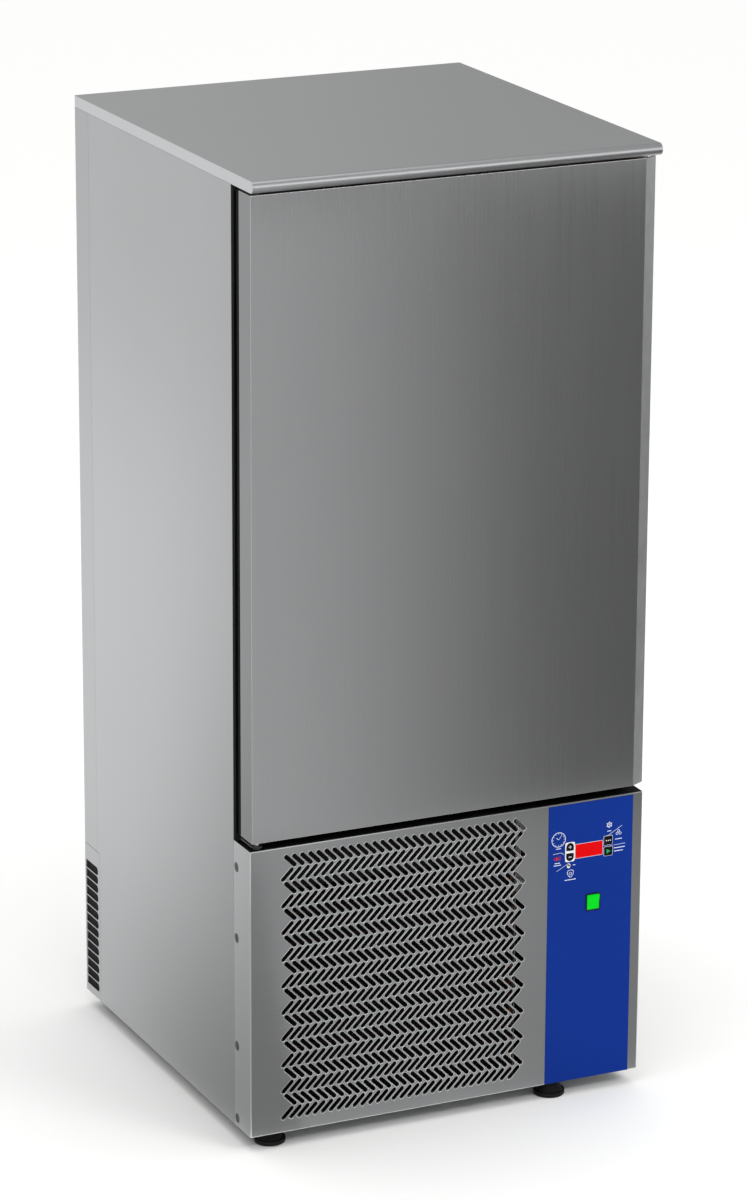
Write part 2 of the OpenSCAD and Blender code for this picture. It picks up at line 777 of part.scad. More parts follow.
// Gland of the core probe's lead, in the right-hand wall of the chamber
probe_at = [y_side + 30, z_in1 - 40];
probe_l = 22;
probe_r = 7;

module probe_gland() {
    color("whitesmoke") difference() {
        union() {
            rod_x(probe_at.x, probe_at.y, x_in - 8, 8, probe_r + 4);
            rod_x(probe_at.x, probe_at.y, x_in - over, probe_l + over, probe_r);
        }
        rod_x(probe_at.x, probe_at.y, x_in - 8 - over, 9 + over, 2.5);
    }
}

// ---------------------------------------------------------------- hinges

// A bracket: flange on the black frame, plate under or over the door, pin
module hinge_bracket(z_plate, z_flange, h_flange, dir) {
    plate_r = hinge_pin_d / 2 + 5;
    color([0.2, 0.2, 0.22]) union() {
        block([-x_side + 2, y_frame - bracket_t, z_flange], [-x_side + 52, y_frame, z_flange + h_flange]);
        xy(z_plate, bracket_t) {
            translate([x_pivot, y_pivot]) circle(r = plate_r);
            rect([x_pivot - plate_r, y_pivot], [x_pivot + plate_r, y_frame]);
        }
        translate([x_pivot, y_pivot, 0]) {
            z_door = dir > 0 ? z_door0 : z_door1;
            z_face = dir > 0 ? z_plate + bracket_t : z_plate;
            reach = abs(z_door - z_face);
            z_tip = z_door + dir * hinge_pin_l;
            // Pin
            translate([0, 0, min(z_plate, z_tip)])
                cylinder(h = abs(z_tip - z_plate) + (dir > 0 ? 0 : bracket_t), r = hinge_pin_d / 2);
            // Shoulder that carries the door
            translate([0, 0, min(z_face, z_door - dir * fit_gap)])
                cylinder(h = reach - fit_gap, r = shoulder_r);
            // Riveted head
            if (dir > 0) translate([0, 0, z_plate - 3.5]) cylinder(h = 3.5 + over, r = hinge_pin_d / 2 + 1.5);
        }
    }
}

module lower_hinge_bracket() {
    hinge_bracket(z_box + 5, z_box + 1, 12, 1);
}

module upper_hinge_bracket() {
    hinge_bracket(z_top - bracket_t - 3, z_top - 9, 8.5, -1);
}

// -------------------------------------------------- lower front and controls

module grille_slots() {
    for (r = [0:slot_rows - 1], c = [0:slot_cols - 1])
        translate([-x_side + slot_margin_x + c * slot_pitch_x - (r % 2) * slot_shift,
                   z_lower - slot_margin_z - r * slot_pitch_z])
            rotate(r % 2 == 0 ? -45 : 45) slot_2d(slot_l, slot_w);
}

// Outlines of the keys on the front panel, x and z, grown by g
module key_up_2d(g) {
    translate(key_up_at) {
        w = key_w + 2 * g;
        translate([-w / 2, -key_h / 2 - g]) square([w, key_h - key_w / 2 + g]);
        translate([0, (key_h - key_w) / 2]) circle(d = w);
    }
}

module key_down_2d(g) {
    translate(key_down_at) rotate(180) translate(-key_up_at) key_up_2d(g);
}

module key_square_2d(at, g) {
    translate(at) round_rect([key_sq + 2 * g, key_sq + 2 * g], 2 + g);
}

// Cut-outs behind the controls, g wider than what passes through
module control_cutouts(g) {
    translate(plate_at) round_rect(plate_size - [3, 3] + [g, g], 3);
    key_square_2d(key_set_at, key_gap + g);
    key_square_2d(key_start_at, key_gap + g);
    translate(display_at) square([display_w + 2 * g, display_h + 2 * g], center = true);
    translate(rocker_at) square([rocker_case.x + 2 * g, rocker_case.y + 2 * g], center = true);
}

rocker_case = [rocker_w + 2.6, 2 * rocker_r + 2];
rocker_bezel = [rocker_case.x + 2.4, rocker_case.y + 2];
rocker_bezel_t = 1.6;
rocker_depth = 4.4;
y_rocker = y_film - rocker_bezel_t + rocker_depth;

module front_grille_panel() {
    color("silver") union() {
        xz(y_lower, sheet_t) difference() {
            rect([-x_side, z_case], [x_side, z_lower]);
            grille_slots();
            control_cutouts(fit_gap);
        }
        for (s = [0, 1]) mirror([s, 0, 0]) difference() {
            block([-x_side, y_lower, z_case], [-x_skin, y_side - seam, z_lower]);
            for (z = FIXING_Z) rod_x(y_fixing, z, -x_side - over, sheet_t + 2 * over, fixing_d / 2 + 0.2);
        }
        block([-x_side, y_lower, z_lower - sheet_t], [x_side, y_side - seam, z_lower]);
        block([-x_side, y_lower, z_case], [x_side, y_lower + 14, z_case + sheet_t]);
    }
}

// Quarter-turn fixings, flush with the panel's returns
module front_panel_fixings() {
    color([0.08, 0.08, 0.08]) for (s = [0, 1], z = FIXING_Z) mirror([s, 0, 0]) difference() {
        union() {
            rod_x(y_fixing, z, -x_side, sheet_t, fixing_d / 2);
            rod_x(y_fixing, z, -x_side, fixing_l, fixing_shank_r);
        }
        // Slot for a coin or a driver
        block([-x_side - over, y_fixing - 1, z - fixing_d / 2 + 3],
              [-x_side + 0.7, y_fixing + 1, z + fixing_d / 2 - 3]);
    }
}

module control_film() {
    color([0.09, 0.23, 0.57]) xz(y_film, film_t) difference() {
        rect([film_x0, z_case + 1], [film_x1, z_lower - 3]);
        control_cutouts(0.1);
    }
}

module display_window() {
    color([0.75, 0.05, 0.08]) xz(y_film - 0.3, film_t + sheet_t + 0.3) translate(display_at)
        square([display_w, display_h], center = true);
}

module key_plate() {
    color("white") xz(y_film - 0.4, 0.4) difference() {
        translate(plate_at) round_rect(plate_size, 4);
        key_up_2d(key_gap);
        key_down_2d(key_gap);
    }
}

module controller_box() {
    pocket_d = key_tail + key_travel + 0.6;
    x0 = controller_x;
    color([0.15, 0.15, 0.16]) difference() {
        block([x0, y_panel_in, controller_z],
              [x0 + controller_size.x, y_panel_in + controller_size.y, controller_z + controller_size.z]);
        xz(y_panel_in - over, pocket_d + over) {
            key_up_2d(key_gap);
            key_down_2d(key_gap);
            key_square_2d(key_set_at, key_gap);
            key_square_2d(key_start_at, key_gap);
        }
    }
}

y_key = y_film - key_proud;
key_l = key_proud + film_t + sheet_t + key_tail;

module key_up() { color([0.05, 0.05, 0.05]) xz(y_key, key_l) key_up_2d(0); }
module key_down() { color([0.05, 0.05, 0.05]) xz(y_key, key_l) key_down_2d(0); }
module key_set() { color([0.05, 0.05, 0.05]) xz(y_key, key_l) key_square_2d(key_set_at, 0); }
module key_start() { color([0.05, 0.05, 0.05]) xz(y_key, key_l) key_square_2d(key_start_at, 0); }

// Switch case with a cylindrical seat that the rocker turns in
module switch_body() {
    case_d = 32;
    color([0.05, 0.05, 0.05]) difference() {
        union() {
            xz(y_film - rocker_bezel_t, rocker_bezel_t) translate(rocker_at) round_rect(rocker_bezel, 2);
            xz(y_film, case_d) translate(rocker_at) square(rocker_case, center = true);
        }
        rod_x(y_rocker, rocker_at.y, rocker_at.x - rocker_w / 2 - fit_gap,
              rocker_w + 2 * fit_gap, rocker_r + fit_gap);
        rod_x(y_rocker, rocker_at.y, rocker_at.x - rocker_case.x / 2 - over,
              rocker_case.x + 2 * over, 1.5 + run_gap);
    }
}

// Rocker: a round segment with two faces, tipped to its on position
module power_rocker() {
    tip = rocker_throw / 2;
    color([0.15, 0.85, 0.3]) translate([rocker_at.x, y_rocker, rocker_at.y]) rotate([tip, 0, 0]) {
        difference() {
            rod_x(0, 0, -rocker_w / 2, rocker_w, rocker_r);
            for (s = [0, 1]) mirror([0, 0, s]) rotate([tip, 0, 0])
                translate([-rocker_w, -rocker_r * 2 - rocker_depth, 0])
                    cube([2 * rocker_w, 2 * rocker_r, 2 * rocker_r]);
        }
        rod_x(0, 0, -rocker_case.x / 2, rocker_case.x, 1.5);
    }
}

// --------------------------------------------------- machine compartment

module condenser_coil() {
    color("darkslategray") union() {
        finned_coil([cond_x0, cond_y0, cond_z0], [cond_w, cond_d, cond_h], 22, 8, 2);
        // Rails that stand on the base
        for (x = [cond_x0 + 40, cond_x0 + cond_w - 60]) block([x, cond_y0, z_deck],
                                                              [x + 20, cond_y1, cond_z0 + 6]);
    }
}

module condenser_shroud() {
    t = 1.5;
    color("dimgray") difference() {
        block([cond_x0, cond_y1, cond_z0], [cond_x0 + cond_w, y_shroud, cond_z0 + cond_h]);
        block([cond_x0 + t, cond_y1 - over, cond_z0 + t],
              [cond_x0 + cond_w - t, y_shroud - t, cond_z0 + cond_h - t]);
        rod_y(cond_c.x, cond_c.y, y_shroud - 2 * t, 4 * t, cond_fan_d / 2 + blade_gap);
    }
}

module condenser_fan() {
    fan_rotor(cond_fan_d, cond_c, y_shroud - fan_depth / 2, 5);
}

module condenser_fan_motor() {
    y0 = y_shroud + fan_depth / 2 + fan_back_gap;
    color("dimgray") fan_motor(cond_c, y0, cond_motor_l, cond_fan_d / 2 + blade_gap + 16, y_shroud);
}

// A vessel of radius r and height h with shallow domes, standing on z = 0
module domed_shell(r, h, dome_r) {
    rise = dome_r - sqrt(dome_r * dome_r - r * r);
    lap = 4;
    intersection() {
        cylinder(h = rise + 2 * lap, r = r);
        translate([0, 0, dome_r]) sphere(r = dome_r, $fn = 96);
    }
    translate([0, 0, rise + lap]) cylinder(h = h - 2 * (rise + lap), r = r);
    intersection() {
        translate([0, 0, h - rise - 2 * lap]) cylinder(h = rise + 2 * lap, r = r);
        translate([0, 0, h - dome_r]) sphere(r = dome_r, $fn = 96);
    }
}

// Hermetic shell on a foot plate, with its welded seam and terminal cover
module compressor() {
    r = compressor_d / 2;
    color([0.08, 0.08, 0.08]) translate([comp_at.x, comp_at.y, comp_z]) union() {
        difference() {
            translate([-r - 10, -r + 10, 0]) cube([2 * r + 20, 2 * r - 20, 3]);
            for (sx = [-1, 1], sy = [-1, 1]) translate([sx * (r - 2), sy * (r - 22), -over])
                cylinder(h = 6, r = 6);
        }
        domed_shell(r, compressor_h, r * 1.5);
        translate([0, 0, compressor_h * 0.55]) cylinder(h = 6, r = r + 3);
        translate([r - 12, -terminal.y / 2, compressor_h * 0.25]) cube(terminal);
    }
}

module compressor_grommets() {
    r = compressor_d / 2;
    color([0.1, 0.1, 0.1]) for (sx = [-1, 1], sy = [-1, 1])
        translate([comp_at.x + sx * (r - 2), comp_at.y + sy * (r - 22), z_deck]) {
            cylinder(h = grommet_h, r = 12);
            cylinder(h = grommet_h + 5, r = 5.7);
        }
}

module liquid_receiver() {
    color([0.1, 0.1, 0.1]) translate([receiver_at.x, receiver_at.y, z_deck]) union() {
        cylinder(h = 16, r = receiver_r - 8);
        translate([0, 0, 10]) domed_shell(receiver_r, receiver_h, receiver_r * 1.3);
    }
}

// Liquid line: straight pipes with brazed corners
module pipe_run(points) {
    for (i = [0:len(points) - 2]) {
        a = points[i];
        b = points[i + 1];
        d = b - a;
        l = norm(d);
        translate(a) rotate([0, acos(d.z / l), atan2(d.y, d.x)]) cylinder(h = l, r = pipe_r);
    }
    if (len(points) > 2) for (i = [1:len(points) - 2]) translate(points[i]) sphere(r = pipe_r + 1);
}

drier_r = 16;
drier_l = 110;
receiver_top = z_deck + 10 + receiver_h;
drier_at = [PIPE_UP[0].x, PIPE_UP[0].y, receiver_top + 100];

module filter_drier() {
    color("goldenrod") translate(drier_at) union() {
        translate([0, 0, 14]) cylinder(h = drier_l - 28, r = drier_r);
        translate([0, 0, 0]) cylinder(h = 15, r1 = pipe_r + 1, r2 = drier_r);
        translate([0, 0, drier_l - 15]) cylinder(h = 15, r1 = drier_r, r2 = pipe_r + 1);
    }
}

module refrigerant_pipes() {
    z_comp = comp_z + compressor_h;
    z_run = z_box - 40;
    z_hot_run = z_run - 30;
    cx = cond_x0 + cond_w;
    z_hot = cond_z0 + cond_h - cond_h / 16;
    z_cool = cond_z0 + cond_h / 16;
    y_c = cond_y0 + cond_d / 2;
    x_e = evap_w / 2 + 12 + fit_gap;
    z_e0 = z_mid - evap_h / 2 + evap_h / 20;
    z_e1 = z_mid + evap_h / 2 - evap_h / 20;
    dip = 9;
    color("peru") {
        // Liquid line: receiver, filter drier, up to the evaporator
        pipe_run([[receiver_at.x, receiver_at.y, receiver_top + fit_gap],
                  [receiver_at.x, receiver_at.y, receiver_top + 50],
                  [receiver_at.x, drier_at.y, receiver_top + 50], [drier_at.x, drier_at.y, receiver_top + 50],
                  [drier_at.x, drier_at.y, drier_at.z - fit_gap]]);
        pipe_run([[drier_at.x, drier_at.y, drier_at.z + drier_l + fit_gap], [drier_at.x, drier_at.y, z_e0],
                  [x_e, drier_at.y, z_e0]]);
        // Suction line: down from the evaporator to the compressor
        pipe_run([[x_e, PIPE_UP[1].y, z_e1], [PIPE_UP[1].x, PIPE_UP[1].y, z_e1],
                  [PIPE_UP[1].x, PIPE_UP[1].y, z_run],
                  [PIPE_UP[1].x, comp_at.y, z_run], [comp_at.x + pipe_out, comp_at.y, z_run],
                  [comp_at.x + pipe_out, comp_at.y, z_comp - dip]]);
        // Hot line: compressor to the top of the condenser
        pipe_run([[comp_at.x - pipe_out, comp_at.y, z_comp - dip],
                  [comp_at.x - pipe_out, comp_at.y, z_hot_run],
                  [cx + pipe_out, comp_at.y, z_hot_run], [cx + pipe_out, y_c, z_hot_run],
                  [cx + pipe_out, y_c, z_hot], [cx + 12 + fit_gap, y_c, z_hot]]);
        // Warm line: bottom of the condenser to the receiver
        pipe_run([[cx + 12 + fit_gap, y_c, z_cool], [cx + pipe_out, y_c, z_cool],
                  [cx + pipe_out, receiver_at.y - receiver_r - 20, z_cool],
                  [receiver_at.x, receiver_at.y - receiver_r - 20, z_cool],
                  [receiver_at.x, receiver_at.y - receiver_r - 20, z_deck + 60],
                  [receiver_at.x, receiver_at.y - receiver_r - fit_gap, z_deck + 60]]);
    }
}

// Switchgear housing with its lid, behind the control side of the panel
module electrical_box() {
    x0 = electrical_x0;
    size = [x_base - x0 - electrical_w_gap, electrical_d, electrical_h];
    color([0.55, 0.57, 0.6]) union() {
        translate([x0, y_side - 10, z_deck]) cube(size);
        translate([x0 - 3, y_side - 16, z_deck + 6]) cube([size.x + 6, 8, size.z - 12]);
    }
}

// Reed switch that senses the door, in the frame over the chamber's mouth
switch_lo = [40, y_frame, z_top - 26];
switch_hi = [80, y_frame + 8, z_top - 14];

module door_switch() {
    color("white") block(switch_lo, switch_hi);
}

// ------------------------------------------------------------------- door

// Round pockets of the hinge bushes, grown by g
module bush_pockets(g) {
    for (z = [z_door0 - over, z_door1 - bush_l - g]) translate([x_pivot, y_pivot, z])
        cylinder(h = bush_l + g + over, r = bush_r + g);
}

module door_outer_skin() {
    color("gainsboro") difference() {
        block([-x_side, y_door, z_door0], [x_bevel, y_pan, z_door1]);
        block([-x_skin, y_door + sheet_t, z_door0 + sheet_t],
              [x_bevel + over, y_pan + over, z_door1 - sheet_t]);
        bush_pockets(0);
    }
}

// Full-height handle: slanted lip, finger recess and rear flange
module door_handle_profile() {
    y_lip = y_door + bevel_d;
    x_deep = x_side - grip_d;
    y_rear = y_pan - 7;
    slope = bevel_d / bevel_w;
    color("darkgray") xy(z_door0, z_door1 - z_door0) polygon([
        [x_bevel, y_door], [x_side - 1, y_lip - slope], [x_side, y_lip], [x_side, y_lip + grip_wall],
        [x_side - 4, y_lip + grip_wall + 1.5], [x_side - 6, y_lip + grip_wall - 2.5],
        [x_deep, y_door + grip_wall + 2.5], [x_deep, y_rear], [x_side, y_rear],
        [x_side, y_pan], [x_bevel, y_pan]
    ]);
}

y_field = y_pan + door_field_d;
field_x = x_side - door_frame_w - fit_gap;
field_z0 = z_door0 + door_frame_w + fit_gap;
field_z1 = z_door1 - door_frame_w - fit_gap;

module door_foam() {
    color("khaki") difference() {
        union() {
            block([-x_skin, y_door + sheet_t, z_door0 + sheet_t],
                  [x_bevel, y_pan - liner_t, z_door1 - sheet_t]);
            block([-field_x + liner_t, y_pan - 2 * liner_t, field_z0 + liner_t],
                  [field_x - liner_t, y_field - liner_t, field_z1 - liner_t]);
        }
        bush_pockets(0.2);
    }
}

// Inner skin with its raised field, which reaches into the gasket's ring
module door_inner_liner() {
    color("whitesmoke") difference() {
        union() {
            block([-x_skin, y_pan - liner_t, z_door0 + sheet_t], [x_bevel, y_pan, z_door1 - sheet_t]);
            block([-field_x, y_pan - liner_t, field_z0], [field_x, y_field, field_z1]);
        }
        block([-field_x + liner_t, y_pan - 2 * liner_t, field_z0 + liner_t],
              [field_x - liner_t, y_field - liner_t, field_z1 - liner_t]);
    }
}

module door_frame() {
    color([0.06, 0.06, 0.06]) for (i = [0:3])
        xz(y_pan, door_frame_t) mitred_bar(i, [-x_side, z_door0], [x_side, z_door1], door_frame_w);
}

// Hollow magnetic gasket in four welded lengths
module door_gasket() {
    lo = [-x_side + gasket_inset, z_door0 + gasket_inset];
    hi = [x_side - gasket_inset, z_door1 - gasket_inset];
    w = gasket_wall;
    foot = gasket_t * 0.3;
    color([0.12, 0.12, 0.13]) for (i = [0:3]) difference() {
        xz(y_gasket, gasket_t) mitred_bar(i, lo, hi, gasket_w);
        xz(y_gasket + foot, gasket_t - foot - w) difference() {
            rect(lo + [w, w], hi - [w, w]);
            rect(lo + [gasket_w - w, gasket_w - w], hi - [gasket_w - w, gasket_w - w]);
        }
    }
}

module door_hinge_bushes() {
    color("white") difference() {
        for (z = [z_door0, z_door1 - bush_l]) translate([x_pivot, y_pivot, z])
            cylinder(h = bush_l, r = bush_r);
        translate([x_pivot, y_pivot, z_door0 - over])
            cylinder(h = hinge_pin_l + 1 + over, r = hinge_pin_d / 2 + run_gap);
        translate([x_pivot, y_pivot, z_door1 - hinge_pin_l - 1])
            cylinder(h = hinge_pin_l + 1 + over, r = hinge_pin_d / 2 + run_gap);
    }
}

// -------------------------------------------------------------------- feet

module foot(at) {
    r = foot_d / 2;
    hub_r = foot_hub_d / 2;
    hub_z = z_case - 1 - foot_pad_h;
    color([0.05, 0.05, 0.05]) translate([at.x, at.y, 0]) union() {
        cylinder(h = 2, r1 = r - 1.5, r2 = r);
        translate([0, 0, 2]) cylinder(h = foot_pad_h - 2, r = r);
        translate([0, 0, foot_pad_h]) cylinder(h = hub_z, r1 = r - 4, r2 = hub_r);
        translate([0, 0, foot_pad_h]) cylinder(h = z_base + foot_bush_h - foot_pad_h - 2, r = stud_d / 2);
    }
}

module foot_front_left() { foot(foot_left); }
module foot_front_right() { foot(foot_right); }
module foot_rear_left() { foot(foot_rear_l); }
module foot_rear_right() { foot(foot_rear_r); }

// ------------------------------------------------------------------ output

left_side_panel();
right_side_panel();
back_panel();
rear_vent_panel();
worktop_skin();
worktop_core();
base_frame();
frame_posts();
insulation_base_panel();
chamber_liner();
cabinet_foam();
front_frame();
rack_posts();
rack_runners();
evaporator_coil();
evaporator_fan_panel();
evaporator_fan_guards();
evaporator_fan_motors();
drain_pipe();
mains_cable_gland();
probe_gland();
lower_hinge_bracket();
upper_hinge_bracket();
front_grille_panel();
front_panel_fixings();
control_film();
display_window();
key_plate();
controller_box();
switch_body();
condenser_coil();
condenser_shroud();
condenser_fan_motor();
compressor();
compressor_grommets();
liquid_receiver();
filter_drier();
refrigerant_pipes();
electrical_box();
door_switch();
door_outer_skin();
door_handle_profile();
door_foam();
door_inner_liner();
door_frame();
door_gasket();
door_hinge_bushes();
evaporator_fan_1();
evaporator_fan_2();
evaporator_fan_3();
condenser_fan();
key_up();
key_down();
key_set();
key_start();
power_rocker();
foot_front_left();
foot_front_right();
foot_rear_left();
foot_rear_right();
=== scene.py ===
"""Looks of an upright blast chiller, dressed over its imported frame.

Metres throughout. The door faces -Y, +X is to the right of a person who stands in
front of it, and the floor is z = 0. Each sub-assembly is a class with its own sizes.
"""

import logging
import math
from collections.abc import Callable
from dataclasses import dataclass, field
from enum import Enum

import bpy
from mathutils import Matrix, Vector


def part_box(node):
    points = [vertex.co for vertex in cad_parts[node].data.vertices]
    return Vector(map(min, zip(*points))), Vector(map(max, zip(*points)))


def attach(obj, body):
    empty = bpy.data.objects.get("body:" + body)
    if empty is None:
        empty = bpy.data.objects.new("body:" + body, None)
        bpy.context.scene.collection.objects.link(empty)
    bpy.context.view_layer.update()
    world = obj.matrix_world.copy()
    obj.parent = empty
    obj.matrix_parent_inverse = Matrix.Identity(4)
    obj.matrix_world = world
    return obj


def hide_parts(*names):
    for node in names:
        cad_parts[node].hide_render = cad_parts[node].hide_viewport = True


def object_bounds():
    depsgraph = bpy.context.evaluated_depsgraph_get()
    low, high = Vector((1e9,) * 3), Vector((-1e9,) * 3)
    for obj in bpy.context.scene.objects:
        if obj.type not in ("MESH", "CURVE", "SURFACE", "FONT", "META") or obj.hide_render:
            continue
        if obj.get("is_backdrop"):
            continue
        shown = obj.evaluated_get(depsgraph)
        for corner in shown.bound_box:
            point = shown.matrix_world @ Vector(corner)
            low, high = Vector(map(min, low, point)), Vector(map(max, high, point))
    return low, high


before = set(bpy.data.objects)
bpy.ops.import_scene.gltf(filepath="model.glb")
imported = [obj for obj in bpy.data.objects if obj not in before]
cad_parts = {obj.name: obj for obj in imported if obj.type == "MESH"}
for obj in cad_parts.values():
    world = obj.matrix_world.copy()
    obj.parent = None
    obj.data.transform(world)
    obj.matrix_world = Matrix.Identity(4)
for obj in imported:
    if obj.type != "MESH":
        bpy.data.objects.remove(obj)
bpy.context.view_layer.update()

log = logging.getLogger("chiller")
MM = 0.001
Object, Node, Socket = bpy.types.Object, bpy.types.Node, bpy.types.NodeSocket
Material, Tree = bpy.types.Material, bpy.types.NodeTree
Point = tuple[float, float]
Point3 = tuple[float, float, float]
Span = tuple[float, float, float, float]
Test = Callable[[Vector, Vector], bool]
Move = Callable[[Vector], Vector]
RIGHT, BACK, UP = (1.0, 0.0, 0.0), (0.0, 1.0, 0.0), (0.0, 0.0, 1.0)


# ------------------------------------------------------------------ colour and nodes


def linear(code: str) -> Span:
    """Turns an sRGB hex value of six digits into linear light with an alpha of one."""
    parts = [int(code[i : i + 2], 16) / 255 for i in (0, 2, 4)]
    light = [c / 12.92 if c <= 0.04045 else ((c + 0.055) / 1.055) ** 2.4 for c in parts]
    return (*light, 1.0)


def plug(tree: Tree, node: Node, inputs: dict) -> None:
    """Sets a node's inputs.

    Args:
        tree: The node's tree.
        node: The node.
        inputs: Values or output sockets, by the input's name or number.
    """
    for name, value in inputs.items():
        if isinstance(value, Socket):
            tree.links.new(value, node.inputs[name])
        else:
            node.inputs[name].default_value = value


def add_node(tree: Tree, kind: str, settings: dict | None = None, inputs: dict | None = None) -> Node:
    """Adds one node with its settings, values and links.

    Args:
        tree: The node tree that gets the node.
        kind: The node's type.
        settings: Properties of the node by name.
        inputs: Values or output sockets, by the input's name or number.

    Returns:
        The new node.
    """
    node = tree.nodes.new(kind)
    for name, value in (settings or {}).items():
        setattr(node, name, value)
    plug(tree, node, inputs or {})
    return node


def new_material(name: str) -> Material:
    """Makes a material with an empty node tree."""
    made = bpy.data.materials.new(name)
    made.use_nodes = True
    made.node_tree.nodes.clear()
    return made


class Surface:
    """A new material with its shader, and the node steps that the finishes share."""

    def __init__(self, name: str) -> None:
        """Makes the material, its shader and its output."""
        self.material = new_material(name)
        self.tree = self.material.node_tree
        self.shader = add_node(self.tree, "ShaderNodeBsdfPrincipled")
        add_node(self.tree, "ShaderNodeOutputMaterial", inputs={"Surface": self.shader.outputs["BSDF"]})

    def wear(self, inputs: dict) -> None:
        """Sets the shader's own inputs, each to a value or from a socket."""
        plug(self.tree, self.shader, inputs)

    def place(self, scale: float | Point3, offset: Point3 = (0.0, 0.0, 0.0)) -> Socket:
        """Gives object coordinates in cycles per metre, one number or one for each axis."""
        inputs = {
            "Vector": add_node(self.tree, "ShaderNodeTexCoord").outputs["Object"],
            "Location": offset,
            "Scale": (scale,) * 3 if isinstance(scale, float) else scale,
        }
        return add_node(self.tree, "ShaderNodeMapping", inputs=inputs).outputs["Vector"]

    def noise(self, scale: float | Point3, detail: float = 2.0, soft: float = 0.5) -> Socket:
        """Gives a noise of so many patches per metre, from 0 to 1."""
        inputs = {"Vector": self.place(scale), "Scale": 1.0, "Detail": detail, "Roughness": soft}
        return add_node(self.tree, "ShaderNodeTexNoise", inputs=inputs).outputs["Fac"]

    def cells(self, scale: float | Point3) -> Node:
        """Adds cells of so many per metre."""
        return add_node(self.tree, "ShaderNodeTexVoronoi", inputs={"Vector": self.place(scale), "Scale": 1.0})

    def greys(self, scale: float | Point3) -> Socket:
        """Gives each cell a grey of its own, from 0 to 1."""
        return add_node(self.tree, "ShaderNodeRGBToBW", inputs={"Color": self.cells(scale).outputs["Color"]}).outputs[0]

    def between(self, source: Socket, low: float = 0.0, high: float = 1.0, ends: Point = (0.25, 0.75)) -> Socket:
        """Maps the part of a value between two ends to low and high."""
        inputs = {"Value": source, "From Min": ends[0], "From Max": ends[1], "To Min": low, "To Max": high}
        return add_node(self.tree, "ShaderNodeMapRange", inputs=inputs).outputs["Result"]

    def mixed(self, factor: Socket, first: object, second: object) -> Socket:
        """Mixes two colours, each a linear colour or a socket, by a factor."""
        return add_node(self.tree, "ShaderNodeMix", {"data_type": "RGBA"}, {0: factor, 6: first, 7: second}).outputs[2]

    def bump(self, height: Socket, depth_mm: float, strength: float, round_mm: float = 0.0) -> None:
        """Raises the surface by a height map, over edges rounded by round_mm."""
        inputs = {"Height": height, "Distance": depth_mm * MM, "Strength": strength}
        if round_mm > 0:
            edge = add_node(self.tree, "ShaderNodeBevel", {"samples": 4}, {"Radius": round_mm * MM})
            inputs["Normal"] = edge.outputs["Normal"]
        self.wear({"Normal": add_node(self.tree, "ShaderNodeBump", inputs=inputs).outputs["Normal"]})


class Grain(Enum):
    """The direction in which a sheet was brushed or drawn."""

    ALONG_X = RIGHT
    ALONG_Y = BACK
    ALONG_Z = UP


@dataclass(frozen=True)
class Finish:
    """A surface finish; each kind builds its own node material.

    Attributes:
        name: The material's name.
        colour: The surface's colour as sRGB hex.
        rough: The middle of its roughness.
    """

    name: str
    colour: str
    rough: float = 0.5

    def tone(self, gain: float = 1.0, lift: float = 0.0) -> Span:
        """Gives the colour in linear light, times a gain, plus a lift."""
        return (*(min(1.0, c * gain + lift) for c in linear(self.colour)[:3]), 1.0)

    def material(self) -> Material:
        """Gives the finish's material, made at its first use."""
        known = bpy.data.materials.get(self.name)
        if known is not None:
            return known
        surface = Surface(self.name)
        surface.material.diffuse_color = self.tone()
        self.dress(surface)
        return surface.material

    def dress(self, surface: Surface) -> None:
        """Sets the surface up; each kind of finish has its own way."""
        surface.wear({"Base Color": self.tone(), "Roughness": self.rough})


@dataclass(frozen=True)
class BrushedSteel(Finish):
    """Austenitic stainless sheet, satin-brushed with grit 220 on a belt.

    The eye sees soft reflections drawn out across the grain, fine streaks along
    it, and broad, faint clouds where the sheet was wiped. The real scratches are
    0.1 mm wide; they are drawn 1.5 to 6 mm wide so that they show in a render.
    """

    grain: Grain = Grain.ALONG_X
    streak: float = 0.05
    cloud: float = 0.05
    anisotropy: float = 0.55
    fold_mm: float = 0.6
    scratch: float = 0.12

    def dress(self, surface: Surface) -> None:
        """Sets up streaks, clouds and the drawn-out gloss."""
        axis = self.grain.value
        fine = surface.noise(tuple(4.0 if a else 620.0 for a in axis), 2.0, 0.6)
        wide = surface.noise(tuple(1.6 if a else 150.0 for a in axis))
        clouds = surface.noise((2.3, 2.3, 1.7), 3.0, 0.45)
        both = add_node(surface.tree, "ShaderNodeMath", {"operation": "ADD"}, {0: fine, 1: wide})
        mean = add_node(surface.tree, "ShaderNodeMath", {"operation": "MULTIPLY"}, {0: both.outputs[0], 1: 0.5})
        half = mean.outputs[0]
        total = add_node(surface.tree, "ShaderNodeMath", {"operation": "ADD"}, {0: half, 1: clouds}).outputs[0]
        lined = surface.mixed(surface.between(half), self.tone(1 - self.streak), self.tone(1 + self.streak))
        line = add_node(surface.tree, "ShaderNodeCombineXYZ", inputs=dict(enumerate(axis)))
        turned = add_node(
            surface.tree,
            "ShaderNodeVectorTransform",
            {"vector_type": "VECTOR", "convert_from": "OBJECT", "convert_to": "WORLD"},
            {"Vector": line.outputs[0]},
        )
        surface.wear({
            "Base Color": surface.mixed(surface.between(clouds), self.tone(1 - self.cloud), lined),
            "Metallic": 1.0,
            "Roughness": surface.between(total, self.rough - 0.05, self.rough + 0.05, (0.6, 1.4)),
            "Anisotropic": self.anisotropy,
            "Anisotropic Rotation": 0.25,
            "Tangent": turned.outputs[0],
        })
        surface.bump(half, 0.05, self.scratch, self.fold_mm)


